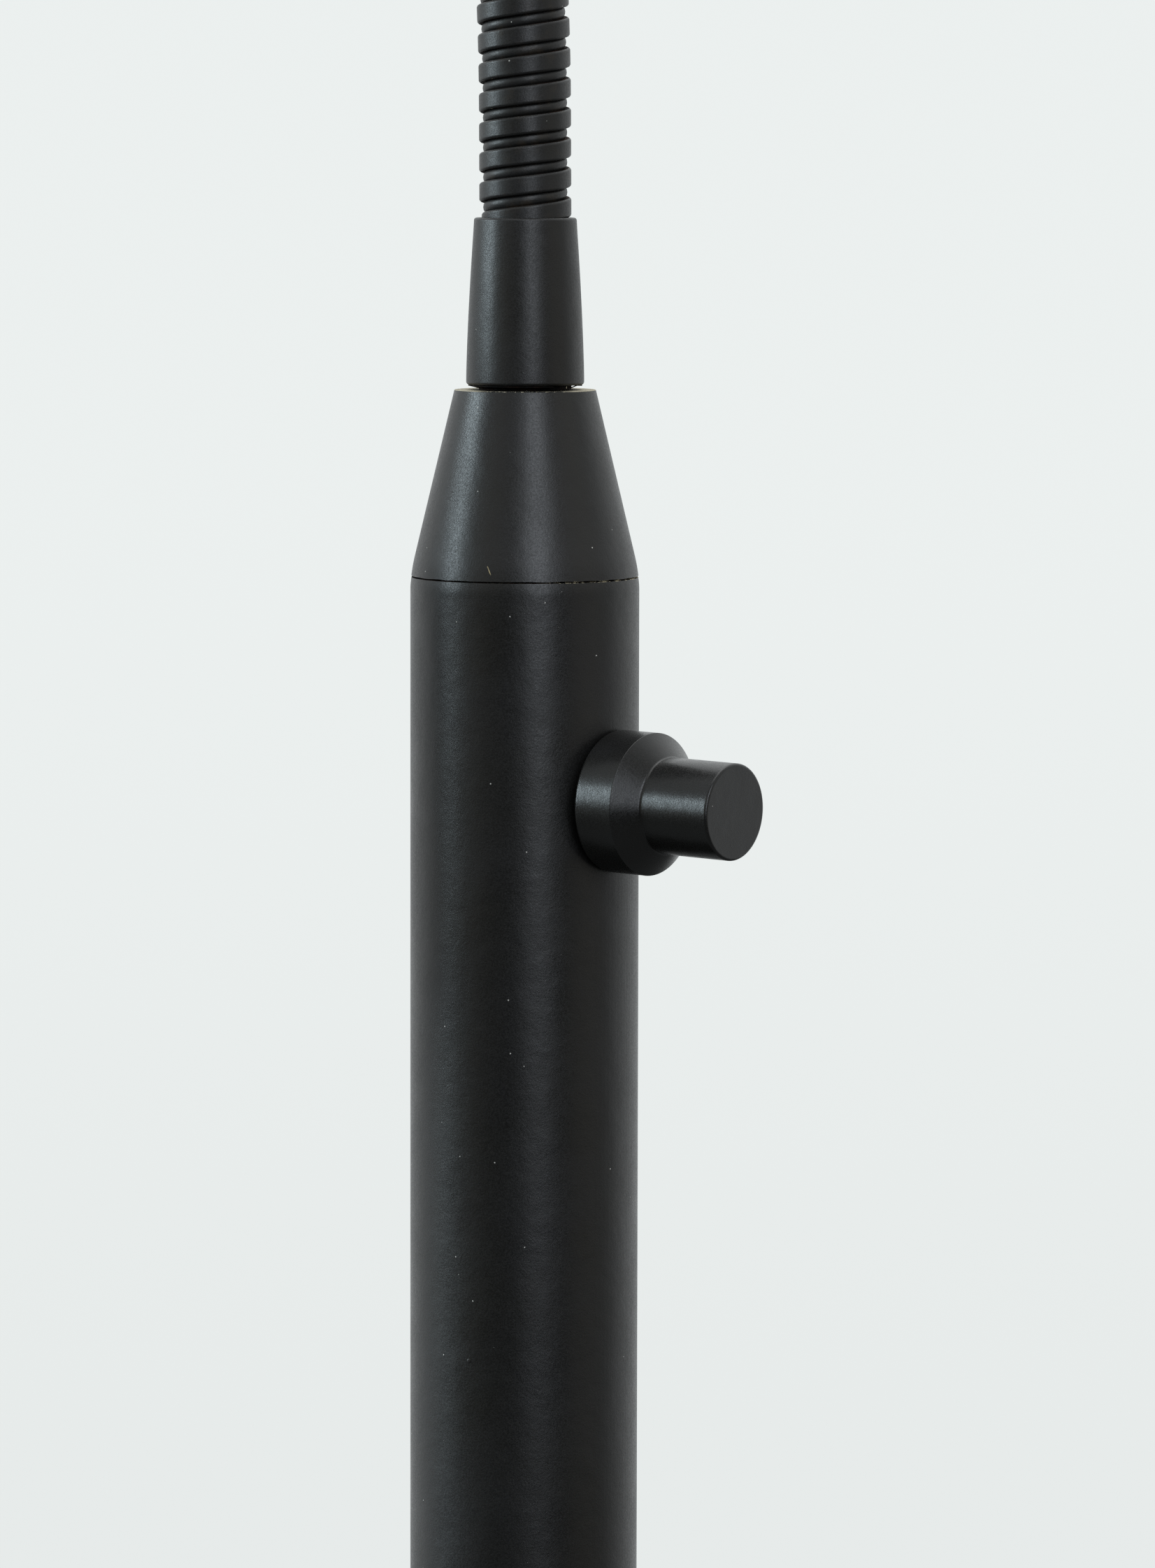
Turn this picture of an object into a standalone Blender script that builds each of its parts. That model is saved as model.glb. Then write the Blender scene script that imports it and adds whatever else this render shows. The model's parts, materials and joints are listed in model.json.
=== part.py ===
"""Adjustable arm floor lamp: a weighted disc base, a tubular post with a rotary dimmer knob
near its top, a cone cap, and a gooseneck arm that arches over to a small spot head.

Frame: metres, +Z up, origin at the centre of the base's underside. The arm arches towards -X.
Each moving piece hangs on an empty that sits on its joint's axis."""

from math import cos, pi, radians, sin

import bmesh
import bpy
from mathutils import Matrix, Vector

MM = 0.001
GAP = 0.3 * MM  # clearance that touching pieces keep

# Base
BASE_RADIUS = 127.5 * MM
BASE_TOP = 19.4 * MM
COVER_WALL = 1.2 * MM
COVER_RIM = 1.2 * MM  # height of the cover's rim over the floor
COVER_EDGE = 5.0 * MM  # radius of the cover's rounded edge
PAD_RADIUS = 120 * MM
PAD_THICK = 2.0 * MM
WEIGHT_CHAMFER = 4.0 * MM
CHANNEL_HALF_WIDTH = 5.0 * MM
CHANNEL_ROOF = 12.2 * MM
INLET_HEIGHT = 7.0 * MM
INLET_HOLE = 4.3 * MM
GLAND_RADIUS = 5.6 * MM
GLAND_BORE = 2.8 * MM
GLAND_LIP = 2.2 * MM  # how far the gland stands out of the cover
GLAND_DEPTH = 4 * MM  # how far it reaches in
BASE_STEPS = 48  # facets round the base
BLOCK_Y = 80 * MM
BLOCK_SIZE = (22 * MM, 14 * MM, 9.5 * MM)
BLOCK_LIFT = 0.5 * MM
SCREW_WELL_RADIUS = 1.8 * MM
SCREW_WELL_DEPTH = 4 * MM
SCREW_SPACING = (5 * MM, 4 * MM)  # from the block's centre, along X and Y
NUT_WELL_RADIUS = 14 * MM
NUT_WELL_ROOF = 12.8 * MM

# Post
POST_RADIUS = 15 * MM
POST_WALL = 1.5 * MM
POST_JOINT = 520 * MM  # height of the joint between the post's two tubes
SEAM = 1000 * MM  # height of the seam between the post and its cone cap
THREAD_RADIUS = 5.0 * MM  # hollow threaded stud and nipples
THREAD_BORE = 3.4 * MM
THREAD_CLEAR = THREAD_RADIUS + GAP
STUD_END = 8.0 * MM  # height of the threaded stud's lower end
PLUG_LENGTH = 24 * MM  # stretch of the post's foot that its tube slides over
FOOT_WASHER_RADIUS = 12.5 * MM
FOOT_WASHER_THICK = 1.3 * MM
FOOT_NUT_FLATS = 17 * MM
COLLAR_REACH = 6 * MM
COLLAR_HEIGHT = 9 * MM
COLLAR_EDGE = 3.8 * MM
JOINER_HALF = 35 * MM  # how far the joiner reaches into each tube
JOINER_WALL = 4.7 * MM
LEAD_RADIUS = 1.4 * MM

# Caps, ferrules and gooseneck
CAP_HEIGHT = 24.4 * MM
CAP_TOP_RADIUS = 9.25 * MM
CAP_CEILING = 17.9 * MM  # inside of the cone cap, over the seam
CAP_BORE = 9 * MM  # radius of the hollow at its ceiling
CAP_EDGE = 0.3 * MM
CAP_SHOULDER = 2.6 * MM  # height over the seam where the cone starts to level out
SPIGOT_DEPTH = 8 * MM
SPIGOT_WALL = 2 * MM
CAP_NUT_FLATS = 14 * MM
CAP_NUT_HEIGHT = 2.7 * MM
WASHER_RADIUS = 6.3 * MM
WASHER_LOW = 0.25 * MM  # the washer's two faces, over the cap that it sits on
WASHER_HIGH = 1.35 * MM
WASHER_SEAT = 6.8 * MM  # radius of the recess in a ferrule's foot
WASHER_SEAT_DEPTH = 1 * MM
NECK_GAP = 0.65 * MM  # open gap between a cap and the ferrule on it
FERRULE_HEIGHT = 21.75 * MM
FERRULE_WIDE = 7.72 * MM
FERRULE_NARROW = 6.69 * MM
FERRULE_CURVE = 1.42  # how soon the ferrule's taper levels out
FERRULE_EDGE = 0.35 * MM
NECK_RADIUS = 6.0 * MM
NECK_BORE = 3.6 * MM
NECK_INSERT = 8.5 * MM  # length of gooseneck held in a ferrule
NECK_CLEAR = 0.35 * MM  # between the gooseneck and the ferrule's bore
STUB_LENGTH = 35 * MM
STUB_LEAN = 0.3  # degrees from upright, where the gooseneck leaves its ferrule
LINK_LENGTH = 42.5 * MM
LINK_GAP = 4.2 * MM  # room for two links to bend at their hinge
BENDS = (6, 12, 18, 24, 30, 30, 27, 21, 11.7)  # degrees at each hinge, ferrule to head

# Dimmer knob
KNOB_DROP = 28.4 * MM  # height of the knob's axis below the seam
KNOB_HEADING = 52.5  # degrees from the front, -Y, towards +X
KNOB_DROOP = 1.1  # degrees below level
KNOB_BACK = POST_RADIUS + GAP
KNOB_END = 34.3 * MM
FLANGE_RADIUS = 9.3 * MM
FLANGE_LENGTH = 5.8 * MM
STEM_RADIUS = 6.3 * MM
STEM_CONE = 2.6 * MM
DIMMER_BACK = 0.4 * MM
DIMMER_FRONT = 10.4 * MM
DIMMER_RADIUS = 8.0 * MM
BUSH_RADIUS = 3.8 * MM
BUSH_END = 19.0 * MM
SHAFT_RADIUS = 3.0 * MM
SHAFT_START = 3.0 * MM
KNOB_WELL = 6.8 * MM  # radius of the recess in the knob's back, over the nut
KNOB_CROWN = 5 * MM  # solid end of the knob
KNOB_EDGE = 0.3 * MM
DIMMER_NUT_FLATS = 11 * MM
DIMMER_NUT_HEIGHT = 2.0 * MM
LUG_LOW = Vector((-3 * MM, -2.2 * MM, -5 * MM))  # wire lugs on the dimmer's back
LUG_HIGH = Vector((3 * MM, 2.2 * MM, 1.5 * MM))

# Head, whose own heights run down from the top face of its cap
HEAD_RADIUS = 29.85 * MM
HEAD_CAP_HEIGHT = 28 * MM
HEAD_CEILING = 13 * MM
HEAD_WALL = 1.25 * MM
HEAD_LENGTH = 106 * MM
HOLDER_TOP = 22 * MM
HOLDER_RADIUS = 13.1 * MM
SOCKET_FACE = 40 * MM
HEAD_CAP_BORE = 17.2 * MM
HEAD_SPIGOT_WALL = 1.6 * MM
BRACKET_THICK = 1 * MM
BRACKET_HALF_WIDTH = 7.5 * MM
PIN_SPACING = 10 * MM
PIN_RADIUS = 2.5 * MM
BULB_BASE_RADIUS = 12 * MM
BULB_NECK = 13 * MM
BULB_RADIUS = 25 * MM
BULB_WALL = 1.5 * MM
BULB_SEAT = 50 * MM
BULB_FACE = 90 * MM
BULB_RIM = 3 * MM  # straight edge round the bulb's face
BOARD_RADIUS = 18 * MM
BOARD_THICK = 1.6 * MM
BOARD_DEPTH = 10 * MM  # from the bulb's face up to the board's upper side
LENS_DEPTH = 2.4 * MM
LENS_CROWN = 0.4 * MM

ALONG = {"Y": Vector((0, 1, 0)), "Z": Vector((0, 0, 1))}


def clear_scene():
    for obj in list(bpy.data.objects):
        bpy.data.objects.remove(obj, do_unlink=True)


def new_collection(name, hidden=False):
    collection = bpy.data.collections.new(name)
    collection.hide_render = hidden
    bpy.context.scene.collection.children.link(collection)
    return collection


def finish_of(name, colour, roughness, metallic=0.0, **sockets):
    material = bpy.data.materials.new(name)
    material.use_nodes = True
    shader = material.node_tree.nodes["Principled BSDF"]
    shader.inputs["Base Color"].default_value = (*colour, 1)
    shader.inputs["Roughness"].default_value = roughness
    shader.inputs["Metallic"].default_value = metallic
    for socket, value in sockets.items():
        shader.inputs[socket.replace("_", " ")].default_value = value
    return material


def joint_axis(name, place, parent=None):
    """An empty on a joint's axis, which the moving pieces hang on."""
    empty = bpy.data.objects.new(name, None)
    empty.empty_display_size = 0.02
    LAMP.objects.link(empty)
    empty.location = place
    if parent:
        hang(empty, parent)
    return empty


def world_place(obj):
    place = obj.location.copy()
    while obj.parent:
        obj = obj.parent
        place += obj.location
    return place


def hang(obj, parent):
    """Parents obj to an unrotated empty and keeps it where it is."""
    obj.location -= world_place(parent)
    obj.parent = parent


def evaluated_mesh(obj):
    graph = bpy.context.evaluated_depsgraph_get()
    return bpy.data.meshes.new_from_object(obj.evaluated_get(graph), depsgraph=graph)


def settle(obj, sharp=35):
    """Turns the object's modifiers into its mesh and shades the round faces smooth."""
    bpy.context.view_layer.update()
    mesh = evaluated_mesh(obj)
    obj.modifiers.clear()
    obj.data = mesh
    mesh.shade_smooth()
    mesh.set_sharp_from_angle(angle=radians(sharp))
    return obj


def add_mesh(name, verts, edges, material, collection):
    mesh = bpy.data.meshes.new(name)
    mesh.from_pydata(verts, edges, [])
    mesh.materials.append(material)
    obj = bpy.data.objects.new(name, mesh)
    collection.objects.link(obj)
    return obj


def turned(name, profile, material, steps=32, closed=False, parent=None, place=(0, 0, 0), along=None):
    """A turned piece. The profile holds (radius, height) points down the outer side, and is
    closed where the piece has a bore."""
    verts = [(radius, 0, height) for radius, height in profile]
    edges = [(i, i + 1) for i in range(len(verts) - 1)]
    if closed:
        edges.append((len(verts) - 1, 0))
    obj = add_mesh(name, verts, edges, material, LAMP)
    screw = obj.modifiers.new("Turn", "SCREW")
    screw.axis = "Z"
    screw.steps = steps
    screw.render_steps = steps
    screw.use_merge_vertices = True
    screw.merge_threshold = 0.00001
    settle(obj)
    obj.location = place
    if along is not None:
        obj.rotation_euler = ALONG["Z"].rotation_difference(along).to_euler()
    if parent:
        hang(obj, parent)
    return obj


def ring(name, inner, outer, low, high, material, **options):
    profile = [(outer, high), (outer, low), (inner, low), (inner, high)]
    return turned(name, profile, material, closed=True, **options)


def arc(centre, radius, start, end, count):
    """Points of a circle's arc in a profile, from start to end in degrees."""
    steps = [radians(start + (end - start) * i / count) for i in range(count + 1)]
    return [(centre[0] + radius * cos(a), centre[1] + radius * sin(a)) for a in steps]


def box(name, low, high, material, collection):
    mesh = bpy.data.meshes.new(name)
    cage = bmesh.new()
    bmesh.ops.create_cube(cage, size=1)
    size = [b - a for a, b in zip(low, high)]
    middle = [(a + b) / 2 for a, b in zip(low, high)]
    bmesh.ops.scale(cage, vec=size, verts=cage.verts)
    bmesh.ops.translate(cage, vec=middle, verts=cage.verts)
    cage.to_mesh(mesh)
    cage.free()
    mesh.materials.append(material)
    obj = bpy.data.objects.new(name, mesh)
    collection.objects.link(obj)
    return obj


def rod(name, radius, start, end, material, collection, sides=24):
    """A plain cylinder between two points. With six sides it is a nut's hexagon."""
    start = Vector(start)
    run = Vector(end) - start
    mesh = bpy.data.meshes.new(name)
    body = bmesh.new()
    bmesh.ops.create_cone(
        body, cap_ends=True, segments=sides, radius1=radius, radius2=radius, depth=run.length
    )
    turn = ALONG["Z"].rotation_difference(run).to_matrix().to_4x4()
    bmesh.ops.transform(body, matrix=Matrix.Translation(start + run / 2) @ turn, verts=body.verts)
    body.to_mesh(mesh)
    body.free()
    mesh.materials.append(material)
    obj = bpy.data.objects.new(name, mesh)
    collection.objects.link(obj)
    return obj


def combine(obj, tools, operation="DIFFERENCE"):
    """Cuts or joins obj with tools, which are helpers and not pieces of the lamp."""
    for tool in tools:
        tool.hide_render = True
        tool.display_type = "WIRE"
        step = obj.modifiers.new("Cut", "BOOLEAN")
        step.object = tool
        step.operation = operation
        step.solver = "EXACT"
    return settle(obj)


def cutter_box(low, high):
    return box("cutter", low, high, STEEL, CUTTERS)


def cutter_rod(radius, start, end, sides=24):
    return rod("cutter", radius, start, end, STEEL, CUTTERS, sides)


def extruded(name, outline, half_width, material, place):
    """A flat outline of (x, z) points, extruded along Y to both sides of place."""
    curve = bpy.data.curves.new(name, "CURVE")
    curve.dimensions = "2D"
    curve.fill_mode = "BOTH"
    curve.extrude = half_width
    spline = curve.splines.new("POLY")
    spline.points.add(len(outline) - 1)
    for point, (x, z) in zip(spline.points, outline):
        point.co = (x, z, 0, 1)
    spline.use_cyclic_u = True
    curve.materials.append(material)
    flat = bpy.data.objects.new(name, curve)
    LAMP.objects.link(flat)
    flat.rotation_euler = (pi / 2, 0, 0)
    flat.location = place
    bpy.context.view_layer.update()
    mesh = evaluated_mesh(flat)
    mesh.transform(flat.matrix_world)
    bpy.data.objects.remove(flat)
    body = bmesh.new()
    body.from_mesh(mesh)
    bmesh.ops.remove_doubles(body, verts=body.verts, dist=0.00001)
    body.to_mesh(mesh)
    body.free()
    obj = bpy.data.objects.new(name, mesh)
    LAMP.objects.link(obj)
    return obj


def nut(name, across_flats, bore, start, end, material):
    """A hexagon nut between two points of its thread's axis."""
    corner = across_flats / 2 / cos(pi / 6)
    obj = rod(name, corner, start, end, material, LAMP, sides=6)
    run = (Vector(end) - Vector(start)).normalized() * 2 * MM
    return combine(obj, [cutter_rod(bore, Vector(start) - run, Vector(end) + run)])


def smooth_route(points, per_span=3):
    """Points of a smooth curve through a few route points."""
    ends = [2 * points[0] - points[1], *points, 2 * points[-1] - points[-2]]
    route = []
    for a, b, c, d in zip(ends, ends[1:], ends[2:], ends[3:]):
        for i in range(per_span):
            t = i / per_span
            route.append(
                0.5 * ((2 * b) + (c - a) * t + (2 * a - 5 * b + 4 * c - d) * t**2
                       + (3 * b - a - 3 * c + d) * t**3)
            )
    return [*route, points[-1]]


def lead(name, points, parent=None):
    """A stretch of two-core lead, along a straight or curved route."""
    curve = bpy.data.curves.new(name, "CURVE")
    curve.dimensions = "3D"
    curve.bevel_depth = LEAD_RADIUS
    curve.bevel_resolution = 2
    curve.use_fill_caps = True
    spline = curve.splines.new("POLY")
    spline.points.add(len(points) - 1)
    for point, place in zip(spline.points, points):
        point.co = (*place, 1)
    curve.materials.append(SHEATH)
    obj = bpy.data.objects.new(name, curve)
    LAMP.objects.link(obj)
    if parent:
        hang(obj, parent)
    return obj


def make_base():
    weight_low = PAD_THICK + GAP
    weight_high = BASE_TOP - COVER_WALL - GAP
    weight_radius = BASE_RADIUS - COVER_WALL - 0.8 * MM  # clear of the cover's side

    pad = [(0, PAD_THICK), (PAD_RADIUS, PAD_THICK), (PAD_RADIUS, 0), (0, 0)]
    turned("base_pad", pad, FOAM, steps=BASE_STEPS)

    inner_edge = COVER_EDGE - COVER_WALL
    bend = (BASE_RADIUS - COVER_EDGE, BASE_TOP - COVER_EDGE)
    cover = [
        (THREAD_CLEAR, BASE_TOP),
        *arc(bend, COVER_EDGE, 90, 0, 3),
        (BASE_RADIUS, COVER_RIM),
        (BASE_RADIUS - COVER_WALL, COVER_RIM),
        *arc(bend, inner_edge, 0, 90, 2),
        (THREAD_CLEAR, BASE_TOP - COVER_WALL),
    ]
    shell = turned("base_cover", cover, PAINT, steps=BASE_STEPS, closed=True)
    through = COVER_WALL + 5 * MM
    combine(shell, [cutter_rod(INLET_HOLE, (0, BASE_RADIUS - through, INLET_HEIGHT),
                               (0, BASE_RADIUS + through, INLET_HEIGHT))])

    weight = [
        (THREAD_CLEAR, weight_high),
        (weight_radius - WEIGHT_CHAMFER, weight_high),
        (weight_radius, weight_high - WEIGHT_CHAMFER),
        (weight_radius, weight_low),
        (NUT_WELL_RADIUS, weight_low),
        (NUT_WELL_RADIUS, NUT_WELL_ROOF),
        (THREAD_CLEAR, NUT_WELL_ROOF),
    ]
    disc = turned("base_weight", weight, IRON, steps=BASE_STEPS, closed=True)
    below = -5 * MM  # any height under the base
    half_block = [size / 2 + 2 * MM for size in BLOCK_SIZE]
    pocket_roof = CHANNEL_ROOF + 1.2 * MM
    channel = cutter_box((-CHANNEL_HALF_WIDTH, NUT_WELL_RADIUS / 2, below),
                         (CHANNEL_HALF_WIDTH, 1.1 * BASE_RADIUS, CHANNEL_ROOF))
    pocket = cutter_box((-half_block[0], BLOCK_Y - half_block[1], below),
                        (half_block[0], BLOCK_Y + half_block[1], pocket_roof))
    combine(disc, [channel, pocket])

    flare = 0.8 * MM
    gland = [
        (GLAND_RADIUS, GLAND_LIP),
        (GLAND_RADIUS, GAP),
        (INLET_HOLE - GAP, GAP),
        (INLET_HOLE - GAP, -GLAND_DEPTH),
        (GLAND_BORE, -GLAND_DEPTH),
        (GLAND_BORE, GLAND_LIP - flare),
        (GLAND_BORE + flare, GLAND_LIP),
    ]
    turned("base_gland", gland, RUBBER, steps=24, closed=True, place=(0, BASE_RADIUS, INLET_HEIGHT),
           along=ALONG["Y"])

    block_low = weight_low + BLOCK_LIFT
    block = box("terminal_block", (-BLOCK_SIZE[0] / 2, BLOCK_Y - BLOCK_SIZE[1] / 2, block_low),
                (BLOCK_SIZE[0] / 2, BLOCK_Y + BLOCK_SIZE[1] / 2, block_low + BLOCK_SIZE[2]),
                NYLON, LAMP)
    places = [(x * SCREW_SPACING[0], BLOCK_Y + y * SCREW_SPACING[1]) for x in (-1, 1) for y in (-1, 1)]
    wells = [
        cutter_rod(SCREW_WELL_RADIUS, (x, y, below), (x, y, block_low + SCREW_WELL_DEPTH), sides=12)
        for x, y in places
    ]
    combine(block, wells)


def make_post():
    bore = POST_RADIUS - POST_WALL
    plug = bore - GAP
    foot = BASE_TOP + GAP
    chamfer = 1 * MM
    post_foot = [
        (plug - chamfer, foot + PLUG_LENGTH),
        (plug, foot + PLUG_LENGTH - chamfer),
        (plug, foot),
        (THREAD_RADIUS, foot),
        (THREAD_RADIUS, STUD_END),
        (THREAD_BORE, STUD_END),
        (THREAD_BORE, foot + PLUG_LENGTH),
    ]
    turned("post_foot", post_foot, STEEL, steps=24, closed=True)
    washer_top = NUT_WELL_ROOF - GAP
    washer_low = washer_top - FOOT_WASHER_THICK
    ring("foot_washer", THREAD_CLEAR, FOOT_WASHER_RADIUS, washer_low, washer_top, STEEL, steps=24)
    nut("foot_nut", FOOT_NUT_FLATS, THREAD_CLEAR, (0, 0, STUD_END + GAP), (0, 0, washer_low - GAP),
        STEEL)

    edge = (POST_RADIUS + COLLAR_REACH - COLLAR_EDGE, foot + COLLAR_HEIGHT - COLLAR_EDGE)
    collar = [
        *arc(edge, COLLAR_EDGE, 90, 0, 4),
        (POST_RADIUS + COLLAR_REACH, foot),
        (POST_RADIUS + GAP, foot),
        (POST_RADIUS + GAP, foot + COLLAR_HEIGHT),
    ]
    turned("post_collar", collar, PAINT, steps=32, closed=True)

    seam_gap = GAP / 2
    ring("post_lower", bore, POST_RADIUS, foot, POST_JOINT - seam_gap, PAINT, steps=32)
    ring("post_joiner", plug - JOINER_WALL, plug, POST_JOINT - JOINER_HALF, POST_JOINT + JOINER_HALF,
         STEEL, steps=24)
    upper = ring("post_upper", bore, POST_RADIUS, POST_JOINT + seam_gap, SEAM - seam_gap, PAINT,
                 steps=32)
    combine(upper, [cutter_rod(BUSH_RADIUS + GAP, KNOB_AT + POST_RADIUS / 2 * KNOB_DIR,
                               KNOB_AT + 1.3 * POST_RADIUS * KNOB_DIR)])


def make_dimmer():
    body = rod("dimmer_housing", DIMMER_RADIUS, KNOB_AT + DIMMER_BACK * KNOB_DIR,
               KNOB_AT + DIMMER_FRONT * KNOB_DIR, NYLON, LAMP)
    bush = cutter_rod(BUSH_RADIUS, KNOB_AT + (DIMMER_FRONT - 1 * MM) * KNOB_DIR,
                      KNOB_AT + BUSH_END * KNOB_DIR)
    lug = box("cutter", LUG_LOW, LUG_HIGH, STEEL, CUTTERS)
    sideways = ALONG["Z"].cross(KNOB_DIR).normalized()
    upward = KNOB_DIR.cross(sideways)
    turn = Matrix((sideways, upward, KNOB_DIR)).transposed().to_4x4()
    lug.matrix_world = Matrix.Translation(KNOB_AT) @ turn
    combine(body, [bush, lug], "UNION")
    combine(body, [cutter_rod(SHAFT_RADIUS + GAP, KNOB_AT + SHAFT_START * KNOB_DIR,
                              KNOB_AT + 1.3 * BUSH_END * KNOB_DIR)])
    nut_back = KNOB_BACK + GAP
    nut("dimmer_nut", DIMMER_NUT_FLATS, BUSH_RADIUS + GAP, KNOB_AT + nut_back * KNOB_DIR,
        KNOB_AT + (nut_back + DIMMER_NUT_HEIGHT) * KNOB_DIR, STEEL)

    knob_axis = joint_axis("knob_axis", KNOB_AT)
    cone_start = KNOB_BACK + FLANGE_LENGTH
    stem_start = cone_start + STEM_CONE
    bore = SHAFT_RADIUS + GAP
    shaft_end = KNOB_END - KNOB_CROWN
    knob = [
        (0, KNOB_END),
        (STEM_RADIUS - KNOB_EDGE, KNOB_END),
        (STEM_RADIUS, KNOB_END - KNOB_EDGE),
        (STEM_RADIUS, stem_start + KNOB_EDGE),
        (STEM_RADIUS + KNOB_EDGE, stem_start - KNOB_EDGE),
        (FLANGE_RADIUS - KNOB_EDGE / 2, cone_start + KNOB_EDGE / 2),
        (FLANGE_RADIUS, cone_start - KNOB_EDGE / 2),
        (FLANGE_RADIUS, KNOB_BACK + KNOB_EDGE),
        (FLANGE_RADIUS - KNOB_EDGE, KNOB_BACK),
        (KNOB_WELL, KNOB_BACK),
        (KNOB_WELL, BUSH_END + GAP),
        (bore, BUSH_END + GAP),
        (bore, shaft_end),
        (0, shaft_end),
    ]
    turned("knob", knob, PAINT, steps=32, parent=knob_axis, place=KNOB_AT, along=KNOB_DIR)
    shaft = rod("dimmer_shaft", SHAFT_RADIUS, KNOB_AT + (SHAFT_START + GAP) * KNOB_DIR,
                KNOB_AT + (shaft_end - GAP) * KNOB_DIR, BRASS, LAMP)
    hang(shaft, knob_axis)


def make_leads():
    """The lead from the terminal block up to the dimmer, and the one from there to the arm."""
    behind = -3.2 * MM * Vector((KNOB_DIR.x, KNOB_DIR.y, 0)).normalized()
    lug = LUG_HIGH.y + GAP
    inlet_side = BLOCK_Y - BLOCK_SIZE[1] / 2 - GAP
    low = 4.4 * MM
    bend = 6 * MM
    corner = [Vector((0, bend - bend * sin(radians(a)), low + bend - bend * cos(radians(a))))
              for a in (0, 30, 60, 90)]
    in_base = [
        Vector((0, inlet_side, 6.4 * MM)),
        Vector((0, 50 * MM, 5.6 * MM)),
        Vector((0, 28 * MM, low + 0.2 * MM)),
        Vector((0, 12 * MM, low)),
        *corner,
        Vector((0, 0, 16 * MM)),
    ]
    in_post = [
        Vector((0, 0, KNOB_AT.z - 55 * MM)),
        Vector((0, 0, KNOB_AT.z - 36 * MM)),
        behind + Vector((0, 0, KNOB_AT.z - 17 * MM)),
        behind + Vector((0, 0, KNOB_AT.z - lug)),
    ]
    lead("supply_lead", smooth_route(in_base) + smooth_route(in_post))
    lamp = [
        behind + Vector((0, 0, KNOB_AT.z + lug)),
        behind + Vector((0, 0, KNOB_AT.z + 12 * MM)),
        Vector((0, 0, SEAM - 2 * MM)),
        Vector((0, 0, SEAM + 14 * MM)),
        Vector((0, 0, NIPPLE_END)),
    ]
    lead("lamp_lead", smooth_route(lamp))


def cap_profile(top_radius, low_radius, height, ceiling, spigot, wall, ceiling_radius):
    """A cone cap from its top face at height down to the seam at 0, with a spigot below."""
    slope = (low_radius - top_radius) / height
    return [
        (top_radius - CAP_EDGE, height),
        (top_radius + CAP_EDGE * slope, height - CAP_EDGE),
        (low_radius - CAP_SHOULDER * slope, CAP_SHOULDER),
        (low_radius - 0.35 * CAP_SHOULDER * slope, CAP_SHOULDER / 2),
        (low_radius - 0.1 * MM, GAP / 2),
        (spigot, GAP / 2),
        (spigot, -SPIGOT_DEPTH),
        (spigot - wall, -SPIGOT_DEPTH),
        (spigot - wall, SPIGOT_DEPTH / 2),
        (ceiling_radius, ceiling),
        (THREAD_CLEAR, ceiling),
        (THREAD_CLEAR, height),
    ]


def ferrule_profile():
    """A tapered sleeve: wide and almost straight at its foot, narrow at the gooseneck's mouth."""
    outer = []
    count = 6
    taper_length = FERRULE_HEIGHT - 2 * FERRULE_EDGE
    for i in range(count + 1):
        share = i / count
        radius = FERRULE_WIDE - (FERRULE_WIDE - FERRULE_NARROW) * (1 - share) ** FERRULE_CURVE
        outer.append((radius, FERRULE_HEIGHT - FERRULE_EDGE - share * taper_length))
    bore = NECK_RADIUS + NECK_CLEAR
    thread_top = FERRULE_HEIGHT - NECK_INSERT - 0.6 * MM
    return [
        (FERRULE_NARROW - 0.2 * MM, FERRULE_HEIGHT),
        *outer,
        (FERRULE_WIDE - FERRULE_EDGE, 0),
        (WASHER_SEAT, 0),
        (WASHER_SEAT, WASHER_SEAT_DEPTH),
        (THREAD_CLEAR, WASHER_SEAT_DEPTH),
        (THREAD_CLEAR, thread_top),
        (bore, thread_top),
        (bore, FERRULE_HEIGHT),
    ]


def washer_between(name, low, parent=None, place=(0, 0, 0)):
    """The spring washer that shows as a dark band in the gap between a cap and its ferrule."""
    return ring(name, THREAD_CLEAR, WASHER_RADIUS, low + WASHER_LOW, low + WASHER_HIGH, STEEL, steps=24,
                parent=parent, place=place)


def make_cap():
    bore = POST_RADIUS - POST_WALL
    cap = cap_profile(CAP_TOP_RADIUS, POST_RADIUS - 0.05 * MM, CAP_HEIGHT, CAP_CEILING,
                      bore - GAP, SPIGOT_WALL, CAP_BORE)
    turned("cone_cap", cap, PAINT, closed=True, place=(0, 0, SEAM))
    nut_top = SEAM + CAP_CEILING - GAP
    nut_low = nut_top - CAP_NUT_HEIGHT
    ring("cap_nipple", THREAD_BORE, THREAD_RADIUS, nut_low - 2 * MM, NIPPLE_END, STEEL, steps=24)
    nut("nipple_nut", CAP_NUT_FLATS, THREAD_CLEAR, (0, 0, nut_low), (0, 0, nut_top), STEEL)
    washer_between("swivel_washer", SEAM + CAP_HEIGHT)


def neck_tube(name, start, end, parent):
    """A straight hollow length of gooseneck between two points."""
    run = end - start
    return ring(name, NECK_BORE, NECK_RADIUS, 0, run.length, PAINT, steps=16, place=start, along=run,
                parent=parent)


def neck_chain():
    """The hinge points of the gooseneck from its ferrule to the head, and its direction after
    each of them. Angles are from upright, towards -X."""
    angle = STUB_LEAN
    heading = Vector((-sin(radians(angle)), 0, cos(radians(angle))))
    points = [NECK_MOUTH, NECK_MOUTH + STUB_LENGTH * heading]
    headings = [heading]
    for i, bend in enumerate(BENDS):
        angle += bend
        heading = Vector((-sin(radians(angle)), 0, cos(radians(angle))))
        headings.append(heading)
        reach = LINK_LENGTH if i < len(BENDS) - 1 else STUB_LENGTH
        points.append(points[-1] + reach * heading)
    return points, headings


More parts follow.
